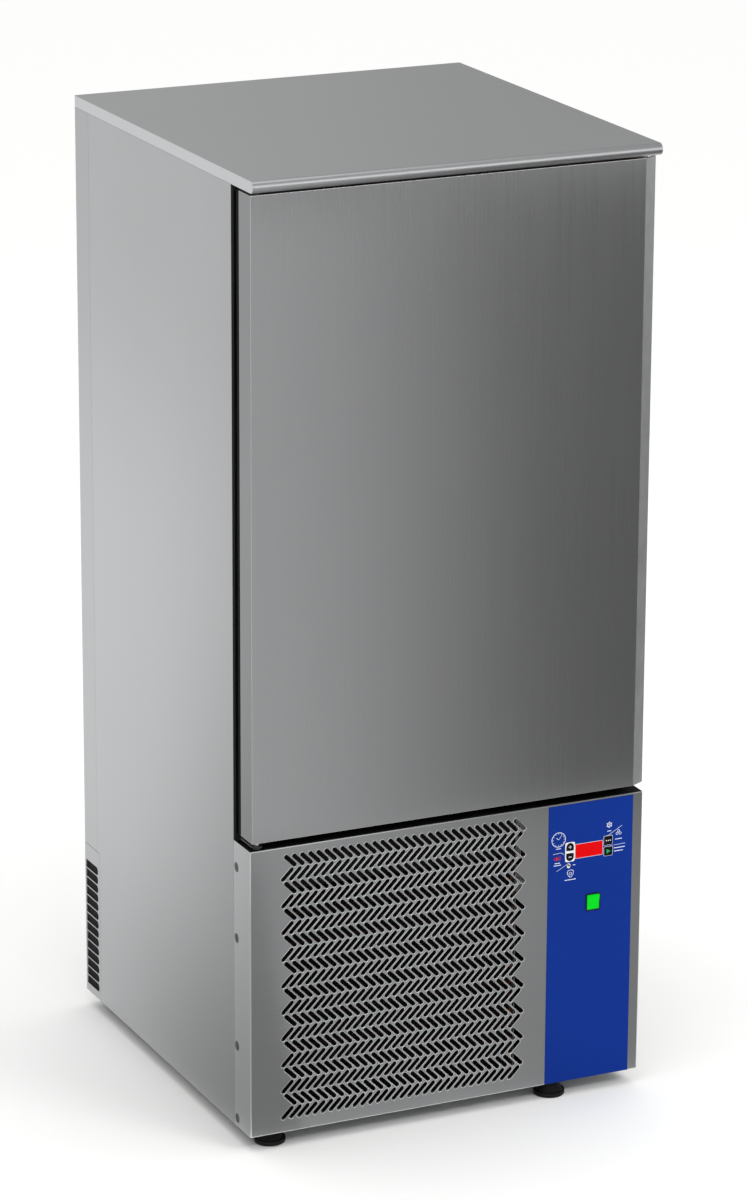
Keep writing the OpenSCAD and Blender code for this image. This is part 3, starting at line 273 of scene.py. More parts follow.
@dataclass(frozen=True)
class BrightSteel(Finish):
    """Bright-annealed stainless sheet of the chamber: smoother and a little wavy."""

    def dress(self, surface: Surface) -> None:
        """Sets up a slow waviness and faint roll marks."""
        rolls = surface.noise((3.0, 3.0, 300.0))
        surface.wear({
            "Base Color": surface.mixed(surface.between(rolls), self.tone(0.94), self.tone(1.03)),
            "Metallic": 1.0,
            "Roughness": surface.between(rolls, self.rough - 0.03, self.rough + 0.05),
        })
        surface.bump(surface.noise(6.0, 2.0, 0.4), 0.6, 0.25)


@dataclass(frozen=True)
class Galvanised(Finish):
    """Hot-dip galvanised sheet: grey zinc with 8 mm spangles."""

    def dress(self, surface: Surface) -> None:
        """Sets up spangles that differ in tone and roughness."""
        grey = surface.greys(120.0)
        surface.wear({
            "Base Color": surface.mixed(grey, self.tone(0.78), self.tone(1.08)),
            "Metallic": 1.0,
            "Roughness": surface.between(grey, self.rough - 0.08, self.rough + 0.08),
        })
        surface.bump(grey, 0.03, 0.2)


@dataclass(frozen=True)
class DrawnMetal(Finish):
    """Drawn or extruded metal, such as anodised aluminium, copper or brass.

    The die leaves fine lines along the profile; handling leaves duller patches.
    """

    tarnish: str = "8A8A8A"
    grain: Grain = Grain.ALONG_Z
    patches: float = 0.2

    def dress(self, surface: Surface) -> None:
        """Sets up die lines and duller patches."""
        dull = surface.noise(28.0, 3.0, 0.6)
        surface.wear({
            "Base Color": surface.mixed(surface.between(dull, 0.0, self.patches), self.tone(), linear(self.tarnish)),
            "Metallic": 1.0,
            "Roughness": surface.between(dull, self.rough - 0.05, self.rough + 0.1),
        })
        surface.bump(surface.noise(tuple(5.0 if a else 700.0 for a in self.grain.value)), 0.04, 0.15, 0.5)


@dataclass(frozen=True)
class Moulding(Finish):
    """Moulded plastic or rubber with a fine spark-eroded grain, about 0.8 mm."""

    grain_mm: float = 0.8
    depth: float = 0.15
    gloss: float = 0.5
    round_mm: float = 0.0

    def dress(self, surface: Surface) -> None:
        """Sets up the grain, and dust that lightens it a little."""
        dust = surface.noise(14.0, 3.0, 0.6)
        surface.wear({
            "Base Color": surface.mixed(surface.between(dust), self.tone(), self.tone(1.25, 0.006)),
            "Specular IOR Level": self.gloss,
            "Roughness": surface.between(dust, self.rough - 0.05, self.rough + 0.07),
        })
        surface.bump(surface.noise(1 / (self.grain_mm * MM), 2.0, 0.6), 0.1, self.depth, self.round_mm)


@dataclass(frozen=True)
class RigidFoam(Finish):
    """Polyurethane foam blown into the walls: cream, with a fine skin of 2 mm cells."""

    def dress(self, surface: Surface) -> None:
        """Sets up the cells and a few darker flow marks."""
        flow = surface.between(surface.noise((5.0, 5.0, 12.0), 4.0, 0.6))
        surface.wear({"Base Color": surface.mixed(flow, self.tone(0.8), self.tone()), "Roughness": self.rough})
        surface.bump(surface.cells(500.0).outputs["Distance"], 0.4, 0.4)


@dataclass(frozen=True)
class ChipBoard(Finish):
    """Moisture-proof particle board: pressed chips of several tones, 4 to 10 mm."""

    def dress(self, surface: Surface) -> None:
        """Sets up the chips."""
        grey = surface.greys((150.0, 150.0, 320.0))
        surface.wear({"Base Color": surface.mixed(grey, self.tone(0.6), self.tone(1.15)), "Roughness": self.rough})
        surface.bump(grey, 0.3, 0.3)


@dataclass(frozen=True)
class PrintedFilm(Finish):
    """Polycarbonate film, printed on its back: an even colour under a velvet face."""

    gloss: float = 0.3

    def dress(self, surface: Surface) -> None:
        """Sets up the velvet grain, 0.5 mm, drawn a little coarser so that it shows."""
        velvet = surface.noise(1400.0, 2.0, 0.6)
        surface.wear({
            "Base Color": surface.mixed(surface.between(surface.noise(4.0)), self.tone(0.96), self.tone(1.05)),
            "Roughness": surface.between(velvet, self.rough - 0.04, self.rough + 0.04),
            "Specular IOR Level": self.gloss,
        })
        surface.bump(velvet, 0.03, 0.1, 0.3)


@dataclass(frozen=True)
class LitPlastic(Finish):
    """Tinted acrylic with a lamp behind it: brightest in the middle, paler at the rim.

    Attributes:
        glow: Strength of the light from behind.
        middle: The lamp's place, x and z in metres.
        reach: Distance from the middle at which the light has faded, in metres.
    """

    glow: float = 1.0
    middle: Point = (0.0, 0.0)
    reach: float = 0.04

    def dress(self, surface: Surface) -> None:
        """Sets up the light that fades from the lamp outwards."""
        per = 1 / self.reach
        away = surface.place((per, 0.0, per), (-self.middle[0] * per, 0.0, -self.middle[1] * per))
        fall = add_node(surface.tree, "ShaderNodeVectorMath", {"operation": "LENGTH"}, {0: away}).outputs["Value"]
        surface.wear({
            "Base Color": self.tone(0.06),
            "Roughness": self.rough,
            "Specular IOR Level": 0.1,
            "Emission Color": self.tone(),
            "Emission Strength": surface.between(fall, self.glow, self.glow * 0.82),
        })
        surface.bump(surface.noise(900.0, 1.0), 0.03, 0.08)


@dataclass(frozen=True)
class Enamel(Finish):
    """Stove enamel on a pressed shell: semi-gloss with a fine orange-peel, 3 mm."""

    def dress(self, surface: Surface) -> None:
        """Sets up the orange-peel and patches of dust."""
        dust = surface.noise(22.0, 3.0, 0.6)
        surface.wear({
            "Base Color": surface.mixed(surface.between(dust), self.tone(), self.tone(1.0, 0.012)),
            "Coat Weight": 0.3,
            "Roughness": surface.between(dust, self.rough - 0.05, self.rough + 0.1),
        })
        surface.bump(surface.noise(330.0), 0.08, 0.2)


def satin(part: str, colour: str, rough: float, grain: Grain, streak: float, cloud: float, **more: float) -> Finish:
    """Gives the satin-brushed finish of one part of the cabinet."""
    return BrushedSteel("satin_brushed_stainless_" + part, colour, rough, grain, streak, cloud, **more)


class Finishes:
    """The finishes of the object, one for each real material and process, and copies of the stainless that carry
    painted light and shade.
    """

    worktop = satin("worktop", "B6B7B8", 0.33, Grain.ALONG_X, 0.03, 0.05)
    side = satin("sides", "C3C4C5", 0.36, Grain.ALONG_Z, 0.035, 0.1)
    rear = satin("rear", "C3C4C5", 0.42, Grain.ALONG_Z, 0.04, 0.07)
    door = satin("door", "B9BABB", 0.28, Grain.ALONG_Z, 0.012, 0.025, scratch=0.06)
    # Painted shade: a darker copy of the door's steel for the door's left return.
    door_return_painted_shade = satin("door_return_painted_shade", "9D9E9F", 0.34, Grain.ALONG_Z, 0.02, 0.05)
    # Painted light: a lighter copy of the lower panel's steel for its left return.
    panel_return_painted_light = satin("panel_return_painted_light", "D2D3D4", 0.34, Grain.ALONG_Z, 0.02, 0.05)
    # Painted light: a lighter copy of the worktop's steel for its end faces.
    end_face_painted_light = satin("end_face_painted_light", "D0D1D2", 0.32, Grain.ALONG_Y, 0.02, 0.04)
    lower = satin("lower_panel", "B4B5B6", 0.32, Grain.ALONG_X, 0.035, 0.05, fold_mm=0.8)
    fan_sheet = BrushedSteel("pressed_stainless_fittings", "BDBFC1", 0.36, Grain.ALONG_Z, 0.03, 0.05)
    # Painted highlight: near-white steel for the rounded folds, standing in for the light line along them.
    fold_painted_highlight = BrightSteel("worn_fold_stainless", "F2F3F4", 0.32)
    # Painted highlight: near-white steel for the slot rims, so they read as bright outlines.
    rim = BrightSteel("rolled_slot_edge_stainless_painted_highlight", "F2F3F4", 0.3)
    chamber = BrightSteel("bright_annealed_stainless", "C9CBCD", 0.24)
    handle = DrawnMetal("satin_anodised_aluminium", "B0B1B2", 0.42, tarnish="9D9E9F", patches=0.3)
    zinc_sheet = Galvanised("hot_dip_galvanised_steel", "A9ACAF", 0.5)
    zinc_part = DrawnMetal("bright_zinc_plated_steel", "C2C4C6", 0.32, tarnish="8F9294")
    pin = DrawnMetal("ground_steel_hinge_pin", "E2E3E4", 0.22, tarnish="B9BBBD")
    fixing = DrawnMetal("zinc_nickel_plated_fixing", "77787A", 0.45, tarnish="5E5F60")
    fins = DrawnMetal("aluminium_fin_stock", "BFC3C6", 0.38, tarnish="9EA2A6")
    copper = DrawnMetal("drawn_copper_tube", "C4764A", 0.3, tarnish="7A4630", patches=0.6)
    brass = DrawnMetal("brazed_copper_drier_shell", "B8734A", 0.35, tarnish="80563A", patches=0.5)
    # Black condenser fins: a real coating, and painted shade for the dark inside seen through the grille slots.
    coated_fins_and_painted_shade = Moulding("black_coated_condenser_fins_and_painted_shade", "17181B", 0.5, grain_mm=2.0)
    frame_black = Moulding("black_rigid_pvc_profile", "09090A", 0.65, gloss=0.06)
    gasket = Moulding("soft_black_gasket_rubber", "08080A", 0.68, gloss=0.12)
    filter_foam = Moulding("black_open_cell_filter_foam", "161718", 0.8, grain_mm=2.5, depth=0.5, gloss=0.1)
    foot = Moulding("black_polyamide_foot", "080809", 0.55, grain_mm=1.2, depth=0.25, gloss=0.2)
    grommet = Moulding("black_nitrile_grommet", "101010", 0.7)
    gland = Moulding("black_polyamide_gland", "121214", 0.45)
    fan = Moulding("glass_filled_polypropylene_fan", "15161A", 0.5, grain_mm=1.5)
    controller = Moulding("black_abs_controller_case", "1C1C1F", 0.5)
    bush = Moulding("white_acetal_bush", "DADAD6", 0.4)
    drain = Moulding("grey_pvc_pipe", "6E7276", 0.45)
    key_black = Moulding("black_silicone_key", "060607", 0.5, grain_mm=0.6, gloss=0.15)
    switch_black = Moulding("black_polycarbonate_bezel", "0B0B0D", 0.32, grain_mm=0.6, depth=0.05, round_mm=0.4)
    # Black hinge plates: a real coat, and painted shade for the dark gaps where they show.
    hinge_black_and_painted_shade = Enamel("black_powder_coated_hinge_plate_and_painted_shade", "0A0A0B", 0.45)
    motor = Enamel("dark_enamelled_motor_case", "2B2D30", 0.4)
    compressor = Enamel("black_stove_enamel", "0B0B0C", 0.32)
    box_grey = Enamel("powder_coated_switchgear_box", "4A4D51", 0.5)
    foam = RigidFoam("rigid_polyurethane_foam", "D9C99A", 0.85)
    board = ChipBoard("moisture_proof_particle_board", "A98B62", 0.8)
    film = PrintedFilm("printed_polycarbonate_film_blue", "0A3089", 0.5, gloss=0.06)
    key_white = PrintedFilm("printed_polycarbonate_film_white", "ECECEC", 0.4)
    ink_white = PrintedFilm("screen_ink_white", "DDE3F2", 0.45)
    ink_red = PrintedFilm("screen_ink_red", "D8262C", 0.45)
    ink_cream = PrintedFilm("screen_ink_cream", "E4E2C8", 0.45)
    ink_green = PrintedFilm("screen_ink_green", "14A05A", 0.45)


# ------------------------------------------------------------------ workbench


class Workbench:
    """Modelling steps that every piece shares."""

    @staticmethod
    def clear() -> None:
        """Deselects everything and leaves edit mode."""
        if bpy.context.object is not None and bpy.context.object.mode != "OBJECT":
            bpy.ops.object.mode_set(mode="OBJECT")
        bpy.ops.object.select_all(action="DESELECT")

    @staticmethod
    def pick(*objects: Object) -> None:
        """Selects these objects alone and makes the first the active one."""
        Workbench.clear()
        for one in objects:
            one.select_set(True)
        bpy.context.view_layer.objects.active = objects[0]

    @staticmethod
    def edit(obj: Object, mode: str = "FACE", action: str = "SELECT") -> None:
        """Opens an object in edit mode with everything or nothing selected."""
        Workbench.pick(obj)
        bpy.ops.object.mode_set(mode="EDIT")
        bpy.ops.mesh.select_mode(type=mode)
        bpy.ops.mesh.select_all(action=action)

    @staticmethod
    def close() -> None:
        """Goes back to object mode."""
        bpy.ops.object.mode_set(mode="OBJECT")

    @staticmethod
    def link(name: str, data: bpy.types.ID) -> Object:
        """Puts a named object with this data into the scene."""
        made = bpy.data.objects.new(name, data)
        bpy.context.scene.collection.objects.link(made)
        return made

    @staticmethod
    def choose_faces(obj: Object, wanted: Test) -> None:
        """Opens an object with the faces selected that a test on centre and normal picks."""
        Workbench.edit(obj, action="DESELECT")
        Workbench.close()
        for face in obj.data.polygons:
            face.select = wanted(face.center, face.normal)
        bpy.ops.object.mode_set(mode="EDIT")

    @staticmethod
    def choose_edges(obj: Object, wanted: Test) -> None:
        """Opens an object with the edges selected that a test on both ends picks."""
        Workbench.edit(obj, "EDGE", "DESELECT")
        Workbench.close()
        points = obj.data.vertices
        for edge in obj.data.edges:
            edge.select = wanted(*(points[i].co for i in edge.vertices))
        bpy.ops.object.mode_set(mode="EDIT")

    @staticmethod
    def apply_place(obj: Object) -> None:
        """Moves an object's place, turn and size into its mesh."""
        Workbench.pick(obj)
        bpy.ops.object.transform_apply(location=True, rotation=True, scale=True)

    @staticmethod
    def plate(width: float, height: float, corner: float = 0.0, steps: int = 1) -> Object:
        """Adds a flat rectangle round the origin, with rounded corners where asked.

        Args:
            width: Its size along x.
            height: Its size along y.
            corner: The radius of its corners.
            steps: Segments of each corner.

        Returns:
            The rectangle.
        """
        Workbench.clear()
        bpy.ops.mesh.primitive_plane_add(size=1.0, location=(0, 0, 0))
        made = bpy.context.active_object
        made.scale = (width, height, 1)
        Workbench.apply_place(made)
        if corner > 0:
            Workbench.edit(made, "VERT")
            bpy.ops.mesh.bevel(offset=corner, segments=steps, affect="VERTICES")
            Workbench.close()
        return made

    @staticmethod
    def block(name: str, *spans: Point) -> Object:
        """Adds a named box that spans two places along each of x, y and z."""
        Workbench.clear()
        bpy.ops.mesh.primitive_cube_add(size=1.0, location=[(start + end) / 2 for start, end in spans])
        made = bpy.context.active_object
        made.name = name
        made.scale = [abs(end - start) for start, end in spans]
        Workbench.apply_place(made)
        return made

    @staticmethod
    def modifier(obj: Object, kind: str, **settings: object) -> None:
        """Adds a modifier with its settings and applies it."""
        Workbench.pick(obj)
        made = obj.modifiers.new(kind.lower(), kind)
        for name, value in settings.items():
            setattr(made, name, value)
        bpy.ops.object.modifier_apply(modifier=made.name)

    @staticmethod
    def join(name: str, pieces: list[Object]) -> Object:
        """Joins pieces into one named object."""
        Workbench.pick(*pieces)
        if len(pieces) > 1:
            bpy.ops.object.join()
        whole = bpy.context.view_layer.objects.active
        whole.name = whole.data.name = name
        return whole

    @staticmethod
    def finish(obj: Object, finish: Finish, body: str, slot: str, smooth: float = 35.0) -> Object:
        """Gives a finished piece its material and its body.

        Args:
            obj: The piece.
            finish: Its surface.
            body: The CAD body that it rides on.
            slot: The record's material slot; not used.
            smooth: Faces that meet under less than this many degrees shade as one.

        Returns:
            The same piece.
        """
        Workbench.pick(obj)
        bpy.ops.object.shade_smooth_by_angle(angle=math.radians(smooth))
        Workbench.modifier(obj, "WEIGHTED_NORMAL", mode="FACE_AREA", weight=80, keep_sharp=True)
        obj.data.materials.clear()
        obj.data.materials.append(finish.material())
        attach(obj, body)
        log.info("piece %s: %d faces on %s", obj.name, len(obj.data.polygons), body)
        return obj

    @staticmethod
    def paint(obj: Object, finish: Finish, wanted: Test) -> None:
        """Gives a second finish to the faces that a test on centre and normal picks."""
        obj.data.materials.append(finish.material())
        for face in obj.data.polygons:
            if wanted(face.center, face.normal):
                face.material_index = len(obj.data.materials) - 1

    @staticmethod
    def merged_copy(node: str, name: str, clear_seams: bool) -> Object:
        """Copies a CAD node, merges its loose triangles and clears flat seams.

        Args:
            node: The CAD node.
            name: The new piece's name.
            clear_seams: Whether edges inside a flat face go.

        Returns:
            A closed copy with its own mesh.
        """
        copy = Workbench.link(name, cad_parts[node].data.copy())
        Workbench.edit(copy, "VERT")
        bpy.ops.mesh.remove_doubles(threshold=2e-6)
        if clear_seams:
            bpy.ops.mesh.dissolve_limited(angle_limit=math.radians(0.4), use_dissolve_boundaries=False)
        Workbench.close()
        if copy.data.has_custom_normals:
            bpy.ops.mesh.customdata_custom_splitnormals_clear()
        return copy


def slanted(_: Vector, normal: Vector) -> bool:
    """Tests for the rounded face of a fold, square to no axis."""
    return max(abs(part) for part in normal) < 0.985


@dataclass
class SoftenedNode:
    """A CAD node whose edges are rounded as its real process rounds them.

    Attributes:
        node: The CAD node.
        name: The piece that stands for it.
        finish: Its surface.
        slot: The record's material slot.
        body: The body that carries it.
        radius_mm: The radius of its edges.
        folds: Where given, only these edges are rounded, in three steps.
        reshape: Where given, moves each corner before the edges are rounded.
        extra: Where given, a solid that is united with the copy.
    """

    node: str
    name: str
    finish: Finish
    slot: str
    body: str = "cabinet"
    radius_mm: float = 0.5
    folds: Test | None = None
    reshape: Move | None = None
    extra: Object | None = None

    def build(self) -> Object:
        """Copies, rounds and dresses the node.

        Returns:
            The piece that stands for the node.
        """
        piece = Workbench.merged_copy(self.node, self.name, self.folds is None)
        if self.extra is not None:
            Workbench.modifier(piece, "BOOLEAN", operation="UNION", object=self.extra, solver="EXACT")
            bpy.data.objects.remove(self.extra)
        if self.reshape is not None:
            for point in piece.data.vertices:
                point.co = self.reshape(point.co)
        width = self.radius_mm * MM
        if self.folds is not None:
            Workbench.choose_edges(piece, self.folds)
            bpy.ops.mesh.bevel(offset=width, segments=3, profile=0.5, clamp_overlap=False)
            Workbench.close()
        else:
            Workbench.modifier(
                piece, "BEVEL", width=width, segments=2, limit_method="ANGLE", angle_limit=math.radians(35)
            )
        Workbench.finish(piece, self.finish, self.body, self.slot, 40.0)
        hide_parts(self.node)
        return piece


# ------------------------------------------------------------------ studio


@dataclass
class Viewpoint:
    """The camera, fitted to the photograph's edges."""

    azimuth: float = -25.10
    elevation: float = 17.29
    roll: float = 0.2747
    distance: float = 8.9767
    target: Point3 = (0.0, 0.0, 0.9)
    aside: float = 0.0243
    above: float = -0.0090
    lens: float = 144.80

    def build(self) -> None:
        """Makes the scene's camera."""
        a, e, r = (math.radians(v) for v in (self.azimuth, self.elevation, self.roll))
        back = Vector((math.sin(a) * math.cos(e), -math.cos(a) * math.cos(e), math.sin(e)))
        right = (-back).cross(Vector(UP)).normalized()
        up = right.cross(-back)
        level = right * math.cos(r) + up * math.sin(r)
        upright = up * math.cos(r) - right * math.sin(r)
        data = bpy.data.cameras.new("camera")
        data.lens = self.lens
        data.sensor_width = 36.0
        data.clip_end = 200.0
        camera = Workbench.link("camera", data)
        place = Vector(self.target) + back * self.distance + level * self.aside + upright * self.above
        camera.matrix_world = Matrix.Translation(place) @ Matrix((level, upright, back)).transposed().to_4x4()
        bpy.context.scene.camera = camera


@dataclass
class Studio:
    """A pale floor, soft lamps and the grey screens that steel is shot against.

    Attributes:
        floor_size: The floor's side.
        floor_colour: Its colour as sRGB hex.
        sky: Strength of the even light all round.
        daylight: Strength of the light from above, which gives no glare.
        overhead: Power of the lamp overhead, in watts.
        front: Power of the lamp in front, in watts.
        lean: How far a screen leans away for each metre of its height.
        front_gap: From the object's front to its screens' foot.
        side_gap: From the object's side to its screen's foot.
        screen_foot: Height of a screen's lowest edge.
    """

    floor_size: float = 90.0
    floor_colour: str = "F4F4F3"
    sky: float = 0.5
    daylight: float = 1.9
    overhead: float = 28.0
    front: float = 60.0
    lean: float = 0.41
    front_gap: float = 0.02
    side_gap: float = 0.03
    screen_foot: float = 0.004

    def build(self) -> None:
        """Sets up the floor, the sky, the lamps and the screens."""
        self.floor()
        self.backdrop()
        self.lamp("daylight", "SUN", self.daylight, False, angle=math.radians(100))
        self.softbox("overhead_softbox", (-0.4, -0.4, 4.6), (0.0, 0.0, 0.0), (3.0, 3.0), self.overhead, True)
        self.softbox("front_softbox", (1.75, -3.9, 3.35), (0.0, -0.4, 1.8), (1.6, 0.7), self.front, False)
        self.front_screens()
        self.side_screen()
        self.back_screen()
        bpy.context.scene.view_settings.view_transform = "Standard"

    def floor(self) -> None:
        """Lays the floor."""
        floor = Workbench.plate(self.floor_size, self.floor_size)
        floor.name = "floor"
        floor.data.materials.append(Finish("matt_painted_floor", self.floor_colour, 0.9).material())
        floor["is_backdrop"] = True

    def backdrop(self) -> None:
        """Sets the sky, a soft grey all round."""
        world = bpy.data.worlds.new("sky")
        world.use_nodes = True
        plug(world.node_tree, world.node_tree.nodes["Background"], {"Color": linear("FFFFFF"), "Strength": self.sky})
        bpy.context.scene.world = world

    def lamp(self, name: str, kind: str, power: float, mirrored: bool, **shape: object) -> Object:
        """Adds one lamp.

        Args:
            name: The lamp's name.
            kind: Its type.
            power: Its strength.
            mirrored: Whether glossy surfaces show it.
            shape: Its other settings by name.

        Returns:
            The lamp.
        """
        data = bpy.data.lights.new(name, kind)
        data.energy = power
        for key, value in shape.items():
            setattr(data, key, value)
        lamp = Workbench.link(name, data)
        lamp.visible_glossy = mirrored
        return lamp

    def softbox(self, name: str, place: Point3, aim: Point3, size: Point, power: float, mirrored: bool) -> None:
        """Hangs a soft lamp of this width and height, in watts, with its face to a point."""
        lamp = self.lamp(name, "AREA", power, mirrored, shape="RECTANGLE", size=size[0], size_y=size[1])
        lamp.location = place
        lamp.rotation_mode = "QUATERNION"
        lamp.rotation_quaternion = (Vector(aim) - Vector(place)).to_track_quat("-Z", "Y")

    def screen(self, name: str, corners: list[Point3], *shares: tuple[Point3, Span]) -> None:
        """Stands a screen, which only reflections show.

        Args:
            name: The screen's name.
            corners: Its four corners in order.
            shares: Its glow is their product. For each a direction, two places along it in
                metres, and the glow at each.
        """
        cloth = new_material(name + "_cloth")
        tree = cloth.node_tree
        at = add_node(tree, "ShaderNodeTexCoord").outputs["Object"]
        light = None
        for way, (start, end, first, last) in shares:
            along = add_node(tree, "ShaderNodeVectorMath", {"operation": "DOT_PRODUCT"}, {0: at, 1: way})
            share = add_node(
                tree,
                "ShaderNodeMapRange",
                {"interpolation_type": "SMOOTHSTEP"},
                {"Value": along.outputs["Value"], "From Min": start, "From Max": end, "To Min": first, "To Max": last},
            ).outputs["Result"]
            if light is not None:
                share = add_node(tree, "ShaderNodeMath", {"operation": "MULTIPLY"}, {0: light, 1: share}).outputs[0]
            light = share
        glow = add_node(tree, "ShaderNodeEmission", inputs={"Color": linear("FFFFFF"), "Strength": light})
        add_node(tree, "ShaderNodeOutputMaterial", inputs={"Surface": glow.outputs[0]})
        mesh = bpy.data.meshes.new(name)
        mesh.from_pydata(corners, [], [(0, 1, 2, 3)])
        mesh.materials.append(cloth)
        screen = Workbench.link(name, mesh)
        for ray in ("camera", "diffuse", "shadow", "transmission"):
            setattr(screen, "visible_" + ray, False)
        screen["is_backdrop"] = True

    def front_screens(self) -> None:
        """Stands the grey screens that the front mirrors, darker to the right."""
        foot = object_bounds()[0][1] - self.front_gap
        base = self.screen_foot
        low = (UP, (0.1, 0.35, 0.49, 0.53))
        for name, ends, heights, shares in (
            ("edge", (-1.6, -0.275), (base, 0.5), ((RIGHT, (0.0, 1.0, 0.66, 0.66)), low)),
            ("low", (-0.275, 3.4), (base, 0.5), ((RIGHT, (-0.1, 0.6, 1.0, 0.72)), low)),
            ("middle", (-1.6, 3.4), (0.5, 1.6), (((1.0, 0.0, -0.18), (-0.47, 0.38, 0.64, 0.18)),)),
            ("top", (-1.6, 3.4), (1.6, 2.45), ((UP, (1.66, 1.86, 0.3, 2.2)), (UP, (1.9, 2.3, 1.0, 0.3)))),
        ):
            corners = [(x, foot - self.lean * z, z) for z, pair in zip(heights, (ends, ends[::-1])) for x in pair]
            self.screen("front_screen_" + name, corners, *shares)

    def side_screen(self) -> None:
        """Stands the pale screen that the left side mirrors, duller at its near end and its foot."""
        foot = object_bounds()[0][0] - self.side_gap
        rows = ((self.screen_foot, (-1.2, 3.2)), (2.45, (3.2, -1.2)))
        corners = [(foot - self.lean * z, y, z) for z, pair in rows for y in pair]
        shares = ((BACK, (-0.3, 0.6, 0.44, 1.0)), (UP, (0.8, 1.3, 1.05, 0.86)), (UP, (0.0, 0.4, 0.8, 1.0)))
        self.screen("side_screen", corners, *shares)

    def back_screen(self) -> None:
        """Stands the far grey screen that the worktop mirrors."""
        corners = [(-2.5, 3.0, 1.2), (5.5, 3.0, 1.2), (5.5, 3.0, 5.5), (-2.5, 3.0, 5.5)]
        self.screen("back_screen", corners, (RIGHT, (0.7, 2.1, 0.63, 0.50)))


# ------------------------------------------------------------------ flat print


def polar(at: Point, radius: float, degrees: float) -> Point:
    """Gives the place at a distance and an angle from another place."""
    angle = math.radians(degrees)
    return (at[0] + radius * math.cos(angle), at[1] + radius * math.sin(angle))


@dataclass
class Print:
    """Flat marks in one ink, drawn in millimetres round a middle, x right and z up.

    Attributes:
        name: The piece's name.
        ink: Its finish.
        middle: The place that the marks are measured from, in metres.
        y: The face that carries them, in metres.
        thick_mm: The ink's thickness.
        marks: What has been drawn so far.
    """

    name: str
    ink: Finish
    middle: Point
    y: float
    thick_mm: float = 0.08
    marks: list[Object] = field(default_factory=list)

    def put(self, mark: Object, at: Point, turn: float = 0.0, line: float = 0.0) -> None:
        """Moves a flat mark to its place.

        Args:
            mark: The mark.
            at: Its middle in millimetres.
            turn: Its turn in degrees.
            line: Where given, the mark becomes an outline of this width in millimetres.
        """
        if line > 0:
            Workbench.edit(mark)
            bpy.ops.mesh.inset(thickness=line * MM, depth=0)
            bpy.ops.mesh.delete(type="FACE")
            Workbench.close()
        mark.rotation_euler = (0, 0, math.radians(turn))
        mark.location = (self.middle[0] + at[0] * MM, self.middle[1] + at[1] * MM, 0)
        Workbench.apply_place(mark)
        self.marks.append(mark)

    def stroke(self, start: Point, end: Point, width: float) -> None:
        """Draws a straight stroke with rounded ends, its sizes in millimetres."""
        run, rise = end[0] - start[0], end[1] - start[1]
        length = math.hypot(run, rise) + width
        mark = Workbench.plate(length * MM, width * MM, width * 0.45 * MM, 2)
        self.put(mark, ((start[0] + end[0]) / 2, (start[1] + end[1]) / 2), math.degrees(math.atan2(rise, run)))

    def disc(self, at: Point, radius: float, sides: int, turn: float = 0.0, line: float = 0.0) -> None:
        """Draws a circle, or a polygon where it has few sides.

        Args:
            at: Its middle in millimetres.
            radius: Its radius in millimetres.
            sides: How many sides it has.
            turn: Its turn in degrees.
            line: Where given, only an outline of this width in millimetres.
        """
        Workbench.clear()
        bpy.ops.mesh.primitive_circle_add(vertices=sides, radius=radius * MM, fill_type="NGON", location=(0, 0, 0))
        self.put(bpy.context.active_object, at, turn, line)

    def frame(self, size: Point, corner: float, line: float) -> None:
        """Draws the outline of a rounded rectangle round the middle, in millimetres."""
        self.put(Workbench.plate(size[0] * MM, size[1] * MM, corner * MM, 5), (0, 0), line=line)

    def build(self, body: str, slot: str) -> None:
        """Gives the marks a thickness and stands them on their face.

        Args:
            body: The body that carries them.
            slot: The record's material slot.
        """
        piece = Workbench.join(self.name, self.marks)
        Workbench.edit(piece)
        bpy.ops.mesh.extrude_region_move(TRANSFORM_OT_translate={"value": (0, 0, self.thick_mm * MM)})
        bpy.ops.mesh.select_all(action="SELECT")
        bpy.ops.mesh.normals_make_consistent(inside=False)
        Workbench.close()
        piece.rotation_euler = (math.radians(90), 0, 0)
        piece.location = (0, self.y, 0)
        Workbench.apply_place(piece)
        Workbench.finish(piece, self.ink, body, slot)


# ------------------------------------------------------------------ sub-assemblies


def face_of(node: str) -> tuple[Point, Point]:
    """Gives the middle of a node's front in metres, and its width and height in millimetres."""
    low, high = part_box(node)
    return ((low.x + high.x) / 2, (low.z + high.z) / 2), ((high.x - low.x) / MM, (high.z - low.z) / MM)


